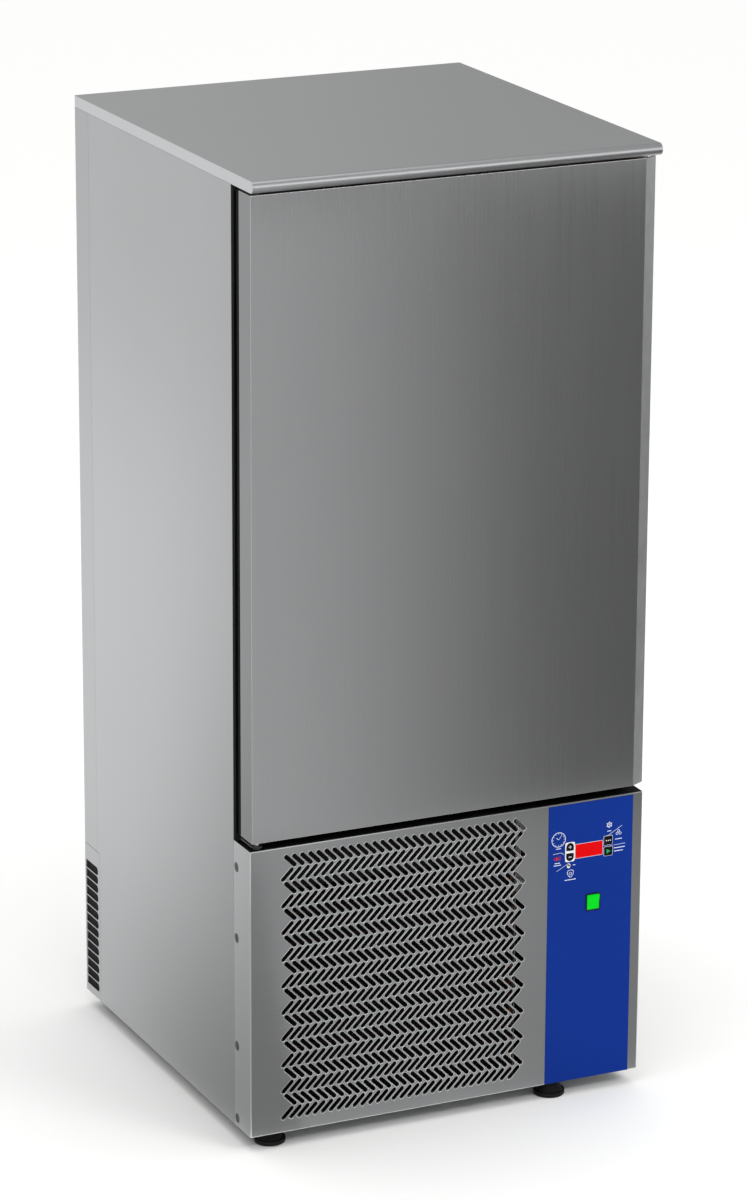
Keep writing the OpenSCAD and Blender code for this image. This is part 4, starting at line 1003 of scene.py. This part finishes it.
class FinishPlan:
    """Finishes of the CAD nodes as they are."""

    groups = (
        (Finishes.side, "left_side_panel right_side_panel"),
        (Finishes.rear, "back_panel rear_vent_panel"),
        (Finishes.worktop, "worktop_skin"),
        (Finishes.board, "worktop_core"),
        (Finishes.zinc_sheet, "base_frame frame_posts insulation_base_panel condenser_shroud"),
        (Finishes.chamber, "chamber_liner door_inner_liner"),
        (Finishes.foam, "cabinet_foam door_foam"),
        (Finishes.frame_black, "front_frame door_frame"),
        (Finishes.fan_sheet, "rack_posts rack_runners evaporator_fan_panel"),
        (Finishes.fins, "evaporator_coil"),
        (Finishes.fan, "evaporator_fan_guards evaporator_fan_1 evaporator_fan_2 evaporator_fan_3 condenser_fan"),
        (Finishes.motor, "evaporator_fan_motors condenser_fan_motor"),
        (Finishes.drain, "drain_pipe"),
        (Finishes.gland, "mains_cable_gland"),
        (Finishes.bush, "probe_gland door_switch door_hinge_bushes"),
        (Finishes.zinc_part, "lower_hinge_bracket upper_hinge_bracket"),
        (Finishes.lower, "front_grille_panel"),
        (Finishes.fixing, "front_panel_fixings"),
        (Finishes.film, "control_film"),
        (Finishes.key_white, "key_plate"),
        (Finishes.key_black, "key_up key_down key_set key_start"),
        (Finishes.controller, "controller_box"),
        (Finishes.switch_black, "switch_body"),
        (Finishes.coated_fins_and_painted_shade, "condenser_coil"),
        (Finishes.compressor, "compressor liquid_receiver"),
        (Finishes.grommet, "compressor_grommets"),
        (Finishes.brass, "filter_drier"),
        (Finishes.copper, "refrigerant_pipes"),
        (Finishes.box_grey, "electrical_box"),
        (Finishes.door, "door_outer_skin"),
        (Finishes.handle, "door_handle_profile"),
        (Finishes.gasket, "door_gasket"),
        (Finishes.foot, "foot_front_left foot_front_right foot_rear_left foot_rear_right"),
    )

    def lit(self, node: str, name: str, colour: str, glow: float, reach: float) -> Finish:
        """Gives a lit finish whose lamp sits behind the middle of a node."""
        return LitPlastic(name, colour, 0.35, glow=glow, middle=face_of(node)[0], reach=reach)

    def build(self) -> None:
        """Gives every CAD node its finish."""
        finishes = {node: finish for finish, nodes in self.groups for node in nodes.split()}
        finishes["display_window"] = self.lit("display_window", "red_filter_acrylic", "EA0006", 0.9, 0.09)
        finishes["power_rocker"] = self.lit("power_rocker", "green_lit_polycarbonate", "00E024", 0.95, 0.05)
        for name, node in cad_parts.items():
            node.data.materials.clear()
            node.data.materials.append(finishes[name].material())
            log.info("node %s: %s", name, finishes[name].name)


@dataclass
class Casing:
    """The folded stainless panels, with the small radius that folding leaves.

    Attributes:
        front_fold_mm: Outer radius of the front panel's folds.
        painted_highlight_mm: How far the painted highlight on the folds reaches in from the outline.
        corner_mm: Width of the upright strip at a rear corner, where the slots end.
        slot_first_mm: Height of the lowest corner slot's edge.
        slot_pitch_mm: Distance between the corner slots.
        slot_tall_mm: Height of a corner slot.
        slot_count: How many corner slots stand above each other.
        slot_gain_mm: What a corner slot gains in height.
        slot_reach_mm: From the side face to where the corner slots end.
        foam_mm: Thickness of the filter foam.
        foam_gap_mm: From the vent panel's face to the foam.
        foam_reach_mm: How far the foam goes along the back.
        foam_inset_mm: From the panel's front, foot and top to the foam.
        seal_mm: Thickness of the soft strip on the front panel's top return.
        seal_inset_mm: From the panel's sides and front, and from the side panel, to the strip.
    """

    front_fold_mm: float = 2.0
    painted_highlight_mm: float = 4.0
    corner_mm: float = 5.0
    slot_first_mm: float = 46.0
    slot_pitch_mm: float = 18.5
    slot_tall_mm: float = 14.9
    slot_count: int = 14
    slot_gain_mm: float = 1.4
    slot_reach_mm: float = 48.0
    foam_mm: float = 5.0
    foam_gap_mm: float = 2.4
    foam_reach_mm: float = 50.0
    foam_inset_mm: Point3 = (14.0, 8.0, 6.0)
    seal_mm: float = 1.4
    seal_inset_mm: Point3 = (1.2, 2.2, 0.6)

    def build(self) -> None:
        """Builds the panels, the worktop, the foam and the strip."""
        for node, finish in (
            ("worktop_skin", Finishes.worktop),
            ("left_side_panel", Finishes.side),
            ("right_side_panel", Finishes.side),
            ("back_panel", Finishes.rear),
        ):
            piece = SoftenedNode(node, node + "_folded", finish, "stainless_satin").build()
            if node == "worktop_skin":
                # Painted light: the worktop's end faces get a lighter copy of its steel.
                Workbench.paint(piece, Finishes.end_face_painted_light, lambda _, normal: abs(normal.x) > 0.98)
        self.front_panel()
        self.vent_panel()
        self.vent_filter()
        self.top_seal()

    def front_panel(self) -> None:
        """Folds the lower front panel along its four edges, paints its left return lighter and paints a highlight on
        the folds.
        """
        low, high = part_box("front_grille_panel")
        flush = 0.02 * MM

        def rim(at: Vector) -> float:
            """Gives a place's distance from the nearest side, top or bottom edge."""
            return min(abs(at.x - low.x), abs(high.x - at.x), abs(at.z - low.z), abs(high.z - at.z))

        def folded(first: Vector, second: Vector) -> bool:
            """Tests for an edge of the front face that lies on its outline."""
            return all(abs(end.y - low.y) < flush and rim(end) < flush for end in (first, second))

        panel = SoftenedNode(
            "front_grille_panel", "front_panel_folded", Finishes.lower, "stainless_satin",
            radius_mm=self.front_fold_mm, folds=folded,
        ).build()
        edge = low.y + self.front_fold_mm * MM
        # Painted light: the panel's left return gets a lighter copy of its steel.
        Workbench.paint(panel, Finishes.panel_return_painted_light, lambda _, normal: normal.x < -0.985)
        # Painted highlight on the rounded front folds near the outline.
        Workbench.paint(
            panel, Finishes.fold_painted_highlight,
            lambda at, normal: at.y < edge and slanted(at, normal) and rim(at) < self.painted_highlight_mm * MM,
        )

    def vent_panel(self) -> None:
        """Softens the vent panel, opens its corner slots a little and closes them at the corner."""
        low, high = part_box("rear_vent_panel")
        width = self.corner_mm * MM
        posts = [
            Workbench.block("post", (side * high.x, side * (high.x - width)), (high.y - width, high.y), (low.z, high.z))
            for side in (-1, 1)
        ]
        first, pitch, tall = (size * MM for size in (self.slot_first_mm, self.slot_pitch_mm, self.slot_tall_mm))
        last = first + (self.slot_count - 1) * pitch + tall
        slack = 0.1 * MM
        inner = high.x - self.slot_reach_mm * MM

        def opened(at: Vector) -> Vector:
            """Makes the corner slots a little taller, each about its own middle."""
            if abs(at.x) < inner or not first - slack < at.z < last + slack:
                return at
            above = (at.z - first + slack) % pitch - slack
            return at + Vector(UP) * (above / tall - 0.5) * self.slot_gain_mm * MM

        SoftenedNode(
            "rear_vent_panel", "rear_vent_panel_folded", Finishes.rear, "stainless_satin",
            reshape=opened, extra=Workbench.join("corner_posts", posts),
        ).build()

    def vent_filter(self) -> None:
        """Hangs black filter foam behind the side slots, from the panel's front edge round the corner."""
        low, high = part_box("rear_vent_panel")
        outer, back = high.x - self.foam_gap_mm * MM, high.y - self.foam_gap_mm * MM
        inset, foot, head = (size * MM for size in self.foam_inset_mm)
        thick, front = self.foam_mm * MM, low.y + inset
        heights = (low.z + foot, high.z - head)
        made = []
        for side in (-1, 1):
            for deep, span in ((thick, (front, back)), (self.foam_reach_mm * MM, (back - thick, back))):
                slab = Workbench.block("slab", (side * outer, side * (outer - deep)), span, heights)
                Workbench.modifier(slab, "BEVEL", width=1.0 * MM, segments=2)
                made.append(slab)
        Workbench.finish(Workbench.join("rear_vent_filter", made), Finishes.filter_foam, "cabinet", "gasket_rubber")

    def top_seal(self) -> None:
        """Lays the black cellular strip on the front panel's top return, a real seal whose black is also painted shade
        for the gap under the door.
        """
        low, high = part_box("front_grille_panel")
        side, front, back = (size * MM for size in self.seal_inset_mm)
        # The strip's black is also painted shade for the gap under the door.
        strip = Workbench.block(
            "panel_top_seal_and_painted_shade",
            (low.x + side, high.x - side),
            (low.y + front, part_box("left_side_panel")[0].y - back),
            (high.z, high.z + self.seal_mm * MM),
        )
        Workbench.modifier(strip, "BEVEL", width=0.5 * MM, segments=2)
        Workbench.finish(strip, Finishes.gasket, "cabinet", "gasket_rubber")


@dataclass
class ControlPrint:
    """The signs printed on the blue film, and those on its keys.

    The words and numbers of such a film are left off; plain bars hold their places.

    Attributes:
        line: Width of a thin line in millimetres.
        bar: Width of a bar that stands for a word.
    """

    line: float = 0.75
    bar: float = 1.5

    def build(self) -> None:
        """Builds the white, red and cream signs and the signs on the keys."""
        middle, display = face_of("display_window")
        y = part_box("control_film")[0].y
        self.white_signs(Print("control_signs", Finishes.ink_white, middle, y), display)
        self.alarm_sign(Print("alarm_sign", Finishes.ink_red, middle, y), (-65.0, -8.5))
        food = Print("food_sign", Finishes.ink_cream, middle, y)
        food.disc((-41.6, -27.0), 3.6, 18)
        food.disc((-40.2, -24.6), 2.6, 14)
        food.build("cabinet", "key_white")
        for key in ("key_up", "key_down", "key_set", "key_start"):
            self.key_sign(key, y)

    def white_signs(self, ink: Print, display: Point) -> None:
        """Prints the clock, the lines, the cold signs, the shield and the bars.

        Args:
            ink: The print that takes them.
            display: The display's width and height in millimetres.
        """
        ink.frame((display[0] + 1.6, display[1] + 1.6), 1.6, 0.8)
        self.clock(ink, (-63, 28), 14.5)
        for start, end in (
            ((-74, 1), (-56.6, 1.6)),
            ((-56.6, 1.6), (-51.4, -3)),
            ((-66, -33.3), (-40.3, -20.4)),
            ((39, 21.5), (67.5, 37)),
            ((51, 1), (75, 1.5)),
        ):
            ink.stroke(start, end, self.line)
        for x, z, length in (
            (-63, 10.4, 9.0),
            (-65, -17.6, 10.0),
            (-65, -21.8, 14.0),
            (-37.6, -53.5, 22.0),
            (41.5, 30.0, 7.0),
            (61.0, 12.0, 13.0),
            (63.0, -5.0, 22.0),
            (61.5, -11.2, 18.0),
            (-30.5, -25.5, 4.0),
        ):
            ink.stroke((x - length / 2, z), (x + length / 2, z), self.bar)
        snow = (41.5, 42.0)
        ink.disc(snow, 4.6, 12, line=1.5)
        for i in range(6):
            ink.disc(polar(snow, 5.0, 60 * i + 30), 1.25, 10)
        ink.disc(snow, 1.3, 10)
        for at in ((61.0, 27.4), (58.0, 22.6), (64.2, 22.6)):
            ink.disc(at, 2.7, 16, line=0.9)
        self.shield(ink, (-37.6, -41.5), 6.6)
        ink.build("cabinet", "key_white")

    def clock(self, ink: Print, at: Point, radius: float) -> None:
        """Draws a plain clock face without numbers."""
        ink.disc(at, radius, 48, line=1.3)
        for hour in range(12):
            ink.stroke(polar(at, radius - 3.9, 30 * hour), polar(at, radius - 2.2, 30 * hour), 0.8)
        ink.stroke(at, (at[0] + 6.4, at[1] + 8.2), 0.9)
        ink.stroke(at, (at[0] - 4.4, at[1] + 3.6), 1.1)

    def shield(self, ink: Print, at: Point, half: float) -> None:
        """Draws a plain shield with a ring in it."""
        shape = ((-1, 0.75), (0, 1.15), (1, 0.75), (0.8, -0.4), (0, -1.2), (-0.8, -0.4))
        placed = [(at[0] + half * x, at[1] + half * z) for x, z in shape]
        for first, second in zip(placed, placed[1:] + placed[:1]):
            ink.stroke(first, second, 1.2)
        ink.disc(at, 3.0, 16, line=0.9)

    def alarm_sign(self, ink: Print, at: Point) -> None:
        """Prints a horn, crossed, with a wave of five short strokes."""
        x, z = at
        ink.disc((x - 5.0, z), 2.6, 4, 45)
        ink.disc((x - 2.6, z), 4.6, 3, 180)
        for rise in (3.4, -3.4):
            ink.stroke((x - 1.0, z - rise), (x + 4.4, z + rise), 1.0)
        wave = [polar((x + 1.0, z), 5.6, 18 * i - 45) for i in range(6)]
        for first, second in zip(wave, wave[1:]):
            ink.stroke(first, second, 0.8)
        ink.build("cabinet", "display_red")

    def key_sign(self, key: str, y: float) -> None:
        """Puts a plus, a minus, three dots or a triangle on a key, and frames the square keys.

        Args:
            key: The key's node.
            y: The film's face.
        """
        middle, size = face_of(key)
        green = key == "key_start"
        ink = Print(key + "_sign", Finishes.ink_green if green else Finishes.ink_white, middle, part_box(key)[0].y)
        if key in ("key_up", "key_down"):
            ink.stroke((-2.4, 0), (2.4, 0), 1.5)
        if key == "key_up":
            ink.stroke((0, -2.4), (0, 2.4), 1.5)
        if key == "key_set":
            for x in (-4.0, 0.0, 4.0):
                ink.disc((x, 0), 1.2, 12)
        if green:
            ink.disc((-1.0, 0), 5.4, 3, -90)
        ink.build(key, "switch_green" if green else "key_white")
        if key in ("key_set", "key_start"):
            rim = Print(key + "_outline", Finishes.ink_white, middle, y)
            rim.frame((size[0] + 2.0, size[1] + 2.0), 2.6, 0.9)
            rim.build("cabinet", "key_white")


@dataclass
class FinPack:
    """A finned coil: thin fins between two end plates, with tubes and return bends.

    Attributes:
        node: The CAD coil that it stands for.
        name: The piece's first name.
        finish: Finish of the fins.
        rows: Tubes above each other.
        pitch: Distance between fins.
        tube: Outer diameter of a tube.
        foot: What the CAD coil's foot takes of its depth at the back.
        columns: Tubes behind each other.
        plate: Thickness of an end plate.
        bend_room: How far the return bends stand out past an end plate.
        fin: Thickness of a fin.
        folds: Ripples of a fin.
        ripple: Height of a ripple.
    """

    node: str
    name: str
    finish: Finish
    rows: int
    pitch: float
    tube: float
    foot: float = 0.0
    columns: int = 2
    plate: float = 0.0015
    bend_room: float = 0.012
    fin: float = 0.0003
    folds: int = 5
    ripple: float = 0.0007

    def build(self) -> None:
        """Builds the fins, the end plates, the tubes and the bends."""
        low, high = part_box(self.node)
        self.spans = ((low.x + self.bend_room, high.x - self.bend_room), (low.y, high.y - self.foot), (low.z, high.z))
        self.size = [end - start for start, end in self.spans]
        self.middle = [(start + end) / 2 for start, end in self.spans]
        self.fins()
        self.plates()
        self.tubes()
        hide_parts(self.node)

    def fins(self) -> None:
        """Builds one rippled fin and copies it along the coil."""
        inset = 4 * MM
        wide = self.size[1] - 2 * inset
        fin = Workbench.plate(wide, self.size[2] - 2 * inset)
        Workbench.edit(fin)
        for i in range(1, self.folds):
            bpy.ops.mesh.select_all(action="SELECT")
            bpy.ops.mesh.bisect(plane_co=(wide * (i / self.folds - 0.5), 0, 0), plane_no=RIGHT)
        Workbench.close()
        for point in fin.data.vertices:
            place = round((point.co.x / wide + 0.5) * self.folds)
            point.co.z = self.ripple if place % 2 else 0.0
        fin.rotation_euler = (math.radians(90), 0, math.radians(90))
        fin.location = (self.spans[0][0] + self.pitch, *self.middle[1:])
        Workbench.apply_place(fin)
        Workbench.modifier(
            fin, "ARRAY", count=int((self.size[0] - 2 * self.pitch) / self.pitch), use_relative_offset=False,
            use_constant_offset=True, constant_offset_displace=(self.pitch, 0, 0),
        )
        Workbench.modifier(fin, "SOLIDIFY", thickness=self.fin, offset=0)
        fin.name = fin.data.name = self.name + "_fins"
        Workbench.finish(fin, self.finish, "cabinet", "coil_metal", 20)

    def plates(self) -> None:
        """Builds the two flanged end plates."""
        made = []
        for x, way in zip(self.spans[0], (1, -1)):
            plate = Workbench.block("plate", (x, x + way * self.plate), *self.spans[1:])
            for side in (-1, 1):
                Workbench.choose_faces(plate, lambda _, normal, side=side: normal.y * side > 0.9)
                bpy.ops.mesh.inset(thickness=0.1 * MM, depth=0)
                Workbench.close()
            Workbench.modifier(plate, "BEVEL", width=0.3 * MM, segments=1)
            made.append(plate)
        Workbench.finish(Workbench.join(self.name + "_end_plates", made), Finishes.zinc_sheet, "cabinet", "galvanised")

    def tubes(self) -> None:
        """Builds the tubes and joins their ends in pairs with bends."""
        (left, right), (front, _), (foot, _) = self.spans
        step_z, step_y = self.size[2] / self.rows, self.size[1] / self.columns
        made = []
        for column in range(self.columns):
            y = front + step_y * (column + 0.5)
            lift = step_z * 0.25 * (1 if column % 2 else -1)
            for row in range(self.rows):
                z = foot + step_z * (row + 0.5) + lift
                Workbench.clear()
                bpy.ops.mesh.primitive_cylinder_add(
                    vertices=12, radius=self.tube / 2, depth=self.size[0] - MM, end_fill_type="NOTHING",
                    location=(self.middle[0], y, z), rotation=(0, math.radians(90), 0),
                )
                made.append(bpy.context.active_object)
                if row + 1 < self.rows:
                    way = -1 if row % 2 else 1
                    end = left + MM if row % 2 else right - MM
                    made.append(self.bend(end, y, z, step_z, way))
        for piece in made:
            Workbench.apply_place(piece)
        whole = Workbench.join(self.name + "_tubes", made)
        Workbench.edit(whole)
        bpy.ops.mesh.remove_doubles(threshold=1e-6)
        bpy.ops.mesh.normals_make_consistent(inside=False)
        Workbench.close()
        Workbench.finish(whole, Finishes.copper, "cabinet", "copper", 60)

    def bend(self, x: float, y: float, z: float, span: float, way: int) -> Object:
        """Builds one return bend by spinning the tube's circle half a turn.

        Args:
            x: The face it stands on.
            y: Its place along y.
            z: The lower tube's height.
            span: Distance between its two tubes.
            way: One to the right, minus one to the left.

        Returns:
            The bend, flattened so that it stays within its room.
        """
        Workbench.clear()
        bpy.ops.mesh.primitive_circle_add(
            vertices=10, radius=self.tube / 2, location=(x, y, z), rotation=(0, math.radians(90), 0)
        )
        ring = bpy.context.active_object
        Workbench.edit(ring, "EDGE")
        bpy.ops.mesh.spin(steps=8, angle=math.radians(180) * way, center=(x, y, z + span / 2), axis=(0, -1, 0))
        Workbench.close()
        Workbench.apply_place(ring)
        share = min(1.0, (self.bend_room - 0.5 * MM) / (span / 2 + self.tube / 2))
        for point in ring.data.vertices:
            point.co.x = x + (point.co.x - x) * share
        return ring


@dataclass
class Door:
    """The door's skin, handle, frame and liner with their real edges.

    Attributes:
        lift_mm: How far its top edge reaches up, to the thin gap of the photograph.
    """

    lift_mm: float = 5.6

    def lifted(self) -> Move:
        """Gives a move that raises the door's top edge and keeps the rounded fold inside the cabinet's width."""
        low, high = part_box("door_outer_skin")
        left, top = low.x + 0.03 * MM, high.z - 3 * MM
        rise = self.lift_mm * MM
        return lambda at: Vector((max(at.x, left), at.y, at.z + rise if at.z > top else at.z))

    def build(self) -> None:
        """Builds the softened pieces of the door."""
        lifted = self.lifted()
        for node, name, finish, slot, radius, move in (
            ("door_outer_skin", "door_skin_folded", Finishes.door, "stainless_door", 0.9, lifted),
            ("door_handle_profile", "handle_extrusion", Finishes.handle, "handle_aluminium", 0.5, lifted),
            ("door_frame", "door_frame_profile", Finishes.frame_black, "black_profile", 0.6, lifted),
            ("door_inner_liner", "door_liner_pressing", Finishes.chamber, "stainless_liner", 1.0, None),
            ("door_hinge_bushes", "door_bushes", Finishes.bush, "bush_white", 0.3, lifted),
            ("door_gasket", "door_gasket_profile", Finishes.gasket, "gasket_rubber", 1.0, None),
        ):
            piece = SoftenedNode(node, name, finish, slot, "door", radius, reshape=move).build()
            if node == "door_outer_skin":
                # Painted shade: the door's left return gets a darker copy of its steel.
                Workbench.paint(piece, Finishes.door_return_painted_shade, lambda _, normal: normal.x < -0.985)
                # Painted highlight on the door's rounded front folds.
                Workbench.paint(piece, Finishes.fold_painted_highlight, lambda at, normal: normal.y < -0.1 and slanted(at, normal))


@dataclass
class Hinges:
    """The two hinge plates, in black that is partly painted shade for the dark gaps they sit in, and the bright pin
    that shows under the door.

    Attributes:
        lift_mm: How far the upper plate sits up, under the worktop.
        pin_mm: Radius of the pin where it shows.
        rest_mm: From the lower panel's top to the shoulder's foot, and to the collar's.
        collar_gap_mm: Between the collar and the door's bush.
        wall_mm: Thickness of the collar.
        plate_mm: Depths under the worktop of the upper plate's top, its foot and its shoulder's foot.
        ahead_mm: How far before the black frame the plate and the shoulder start.
        short_mm: Depth under the worktop at which the shortened shoulder ends.
    """

    lift_mm: float = 2.4
    pin_mm: float = 4.6
    rest_mm: Point = (9.9, 10.2)
    collar_gap_mm: float = 0.9
    wall_mm: float = 0.4
    plate_mm: Point3 = (2.0, 7.0, 11.0)
    ahead_mm: Point = (2.9, 30.0)
    short_mm: float = 6.0

    def slimmed(self) -> Move:
        """Gives a move that draws the lower shoulder in to the pin."""
        low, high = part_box("door_hinge_bushes")
        middle = (low + high) / 2
        wide = (high.x - low.x) / 2 - self.wall_mm * MM
        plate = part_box("front_grille_panel")[1].z + self.rest_mm[0] * MM

        def move(point: Vector) -> Vector:
            """Moves one corner."""
            away = Vector((point.x - middle.x, point.y - middle.y, 0))
            if point.z < plate or not self.pin_mm * MM < away.length < wide or point.z > low.z:
                return point
            return point - away * (1 - self.pin_mm * MM / away.length)

        return move

    def tucked(self) -> Move:
        """Gives a move that raises the upper plate and shortens the shoulder under it."""
        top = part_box("worktop_skin")[0].z
        frame_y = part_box("front_frame")[0].y
        plate_y, shoulder_y = (frame_y - ahead * MM for ahead in self.ahead_mm)
        plate_top, plate_foot, shoulder_foot = (top - depth * MM for depth in self.plate_mm)

        def move(point: Vector) -> Vector:
            """Moves one corner."""
            if point.y < plate_y and plate_foot < point.z < plate_top:
                return point + Vector((0, 0, self.lift_mm * MM))
            if point.y < shoulder_y and shoulder_foot < point.z <= plate_foot:
                return Vector((point.x, point.y, top + (self.lift_mm - 0.4 - self.short_mm) * MM))
            return point

        return move

    def build(self) -> None:
        """Builds both plates and the collar."""
        # Both plates are black: a real coat, and painted shade for the dark gaps where they show.
        for side, radius, move in (("lower", 0.4, self.slimmed()), ("upper", 0.3, self.tucked())):
            SoftenedNode(
                side + "_hinge_bracket", side + "_hinge", Finishes.hinge_black_and_painted_shade, "hinge_steel",
                radius_mm=radius, reshape=move,
            ).build()
        self.collar()

    def collar(self) -> None:
        """Turns the ground collar round the lower pin's shoulder."""
        low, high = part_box("door_hinge_bushes")
        middle = (low + high) / 2
        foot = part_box("front_grille_panel")[1].z + self.rest_mm[1] * MM
        length = low.z - self.collar_gap_mm * MM - foot
        Workbench.clear()
        bpy.ops.mesh.primitive_cylinder_add(
            vertices=32, radius=(self.pin_mm + 0.1) * MM, depth=length, end_fill_type="NOTHING",
            location=(middle.x, middle.y, foot + length / 2),
        )
        collar = bpy.context.active_object
        Workbench.apply_place(collar)
        Workbench.modifier(collar, "SOLIDIFY", thickness=self.wall_mm * MM, offset=1.0)
        Workbench.modifier(collar, "BEVEL", width=0.15 * MM, segments=2, limit_method="ANGLE")
        collar.name = "hinge_pin_collar"
        Workbench.finish(collar, Finishes.pin, "cabinet", "hinge_steel")


@dataclass
class SlotRims:
    """The rolled edges of the punched herringbone slots, which catch the light; their near-white steel is a painted
    highlight.

    Attributes:
        rows: Rows of slots.
        columns: Slots in a row.
        straight: Length of a slot between the centres of its round ends.
        width: A slot's width.
        roll: Width of the rolled edge.
        left: From the panel's left edge to the first slot's middle.
        right: From the last slot's middle to the film.
        top: From the panel's top edge to the first row.
        pitch: Distance between rows.
        shift: How far every other row stands to the left.
    """

    rows: int = 20
    columns: int = 30
    straight: float = 0.024
    width: float = 0.008
    roll: float = 0.0014
    left: float = 0.079
    right: float = 0.0588
    top: float = 0.0275
    pitch: float = 0.0256
    shift: float = 0.006

    def one(self) -> Object:
        """Models one rolled edge, a flat, low ridge round the origin.

        Returns:
            The edge.
        """
        wide = self.width + 2 * self.roll
        rim = Workbench.plate(self.straight + wide, wide, wide / 2 * 0.998, 4)
        Workbench.edit(rim)
        bpy.ops.mesh.inset(thickness=self.roll * 0.55, depth=0.0006)
        bpy.ops.mesh.inset(thickness=self.roll * 0.55, depth=-0.0009)
        bpy.ops.mesh.delete(type="FACE")
        Workbench.close()
        return rim

    def build(self) -> None:
        """Copies the edge to every slot."""
        low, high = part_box("front_grille_panel")
        film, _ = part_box("control_film")
        pitch_x = (film.x - self.right - low.x - self.left) / (self.columns - 1)
        upright = Matrix.Rotation(math.radians(90), 4, "X")
        first = self.one()
        made = []
        for row in range(self.rows):
            turn = Matrix.Rotation(math.radians(45 if row % 2 else -45), 4, "Z")
            z = high.z - self.top - row * self.pitch
            for column in range(self.columns):
                x = low.x + self.left + column * pitch_x - (row % 2) * self.shift
                mesh = first.data.copy()
                mesh.transform(Matrix.Translation((x, low.y, z)) @ upright @ turn)
                made.append(Workbench.link("slot_rim", mesh))
        bpy.data.objects.remove(first)
        # The rims' near-white steel is a painted highlight.
        Workbench.finish(Workbench.join("slot_rims", made), Finishes.rim, "cabinet", "stainless_satin", 60)


@dataclass
class Machinery:
    """Coils, compressor and the other machine pieces with their real edges.

    Attributes:
        clear: Free space that the seal over the condenser leaves to its neighbours.
    """

    clear: float = 0.001

    def build(self) -> None:
        """Builds the coils, softens the rest and fills the gap over the condenser."""
        # The condenser's black fins are partly painted shade for the dark seen through the slots.
        FinPack("condenser_coil", "condenser", Finishes.coated_fins_and_painted_shade, 16, 0.0032, 0.0095).build()
        FinPack("evaporator_coil", "evaporator", Finishes.fins, 20, 0.005, 0.012, foot=0.015).build()
        for node, name, finish, slot, radius in (
            ("compressor", "compressor_shell", Finishes.compressor, "compressor_black", 1.2),
            ("liquid_receiver", "receiver_shell", Finishes.compressor, "compressor_black", 1.0),
            ("electrical_box", "switchgear_box", Finishes.box_grey, "box_grey", 1.5),
            ("mains_cable_gland", "cable_gland", Finishes.gland, "gland_black", 0.6),
            ("drain_pipe", "drain_tube", Finishes.drain, "drain_grey", 0.5),
            ("condenser_fan_motor", "condenser_motor", Finishes.motor, "motor_dark", 0.8),
            ("compressor_grommets", "grommets", Finishes.grommet, "grommet_rubber", 0.8),
            ("switch_body", "switch_case", Finishes.switch_black, "switch_black", 0.4),
            ("front_panel_fixings", "panel_fixings", Finishes.fixing, "hinge_steel", 0.4),
        ):
            SoftenedNode(node, name, finish, slot, radius_mm=radius).build()
        self.condenser_seal()

    def condenser_seal(self) -> None:
        """Closes the gap over the condenser with foam, pressed in at its face, so warm air can't turn back."""
        low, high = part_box("condenser_coil")
        shroud_low, shroud_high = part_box("condenser_shroud")
        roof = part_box("insulation_base_panel")[0].z
        block = Workbench.block(
            "condenser_top_seal",
            (shroud_low.x, shroud_high.x),
            (low.y + self.clear, shroud_high.y),
            (high.z + self.clear, roof - self.clear),
        )
        Workbench.choose_faces(block, lambda _, normal: normal.y < -0.9)
        bpy.ops.mesh.inset(thickness=8 * MM, depth=0)
        bpy.ops.transform.translate(value=(0, 3 * MM, 0))
        Workbench.close()
        Workbench.modifier(block, "BEVEL", width=2 * MM, segments=2)
        Workbench.finish(block, Finishes.gasket, "cabinet", "gasket_rubber")


@dataclass
class Feet:
    """The four levelling feet, their moulded edges rounded."""

    names: tuple[str, ...] = ("foot_front_left", "foot_front_right", "foot_rear_left", "foot_rear_right")

    def build(self) -> None:
        """Builds one softened foot for each CAD foot."""
        for node in self.names:
            SoftenedNode(node, node + "_moulded", Finishes.foot, "foot_rubber", node, 0.8).build()


def main() -> None:
    """Builds the scene, piece by piece."""
    logging.basicConfig(level=logging.INFO, format="%(relativeCreated)6d ms %(message)s")
    Workbench.clear()
    for part in (
        Viewpoint(), Studio(), FinishPlan(), Casing(), SlotRims(), ControlPrint(), Door(), Hinges(), Machinery(), Feet()
    ):
        part.build()
        log.info("built %s", type(part).__name__)


if __name__ == "__main__":
    main()
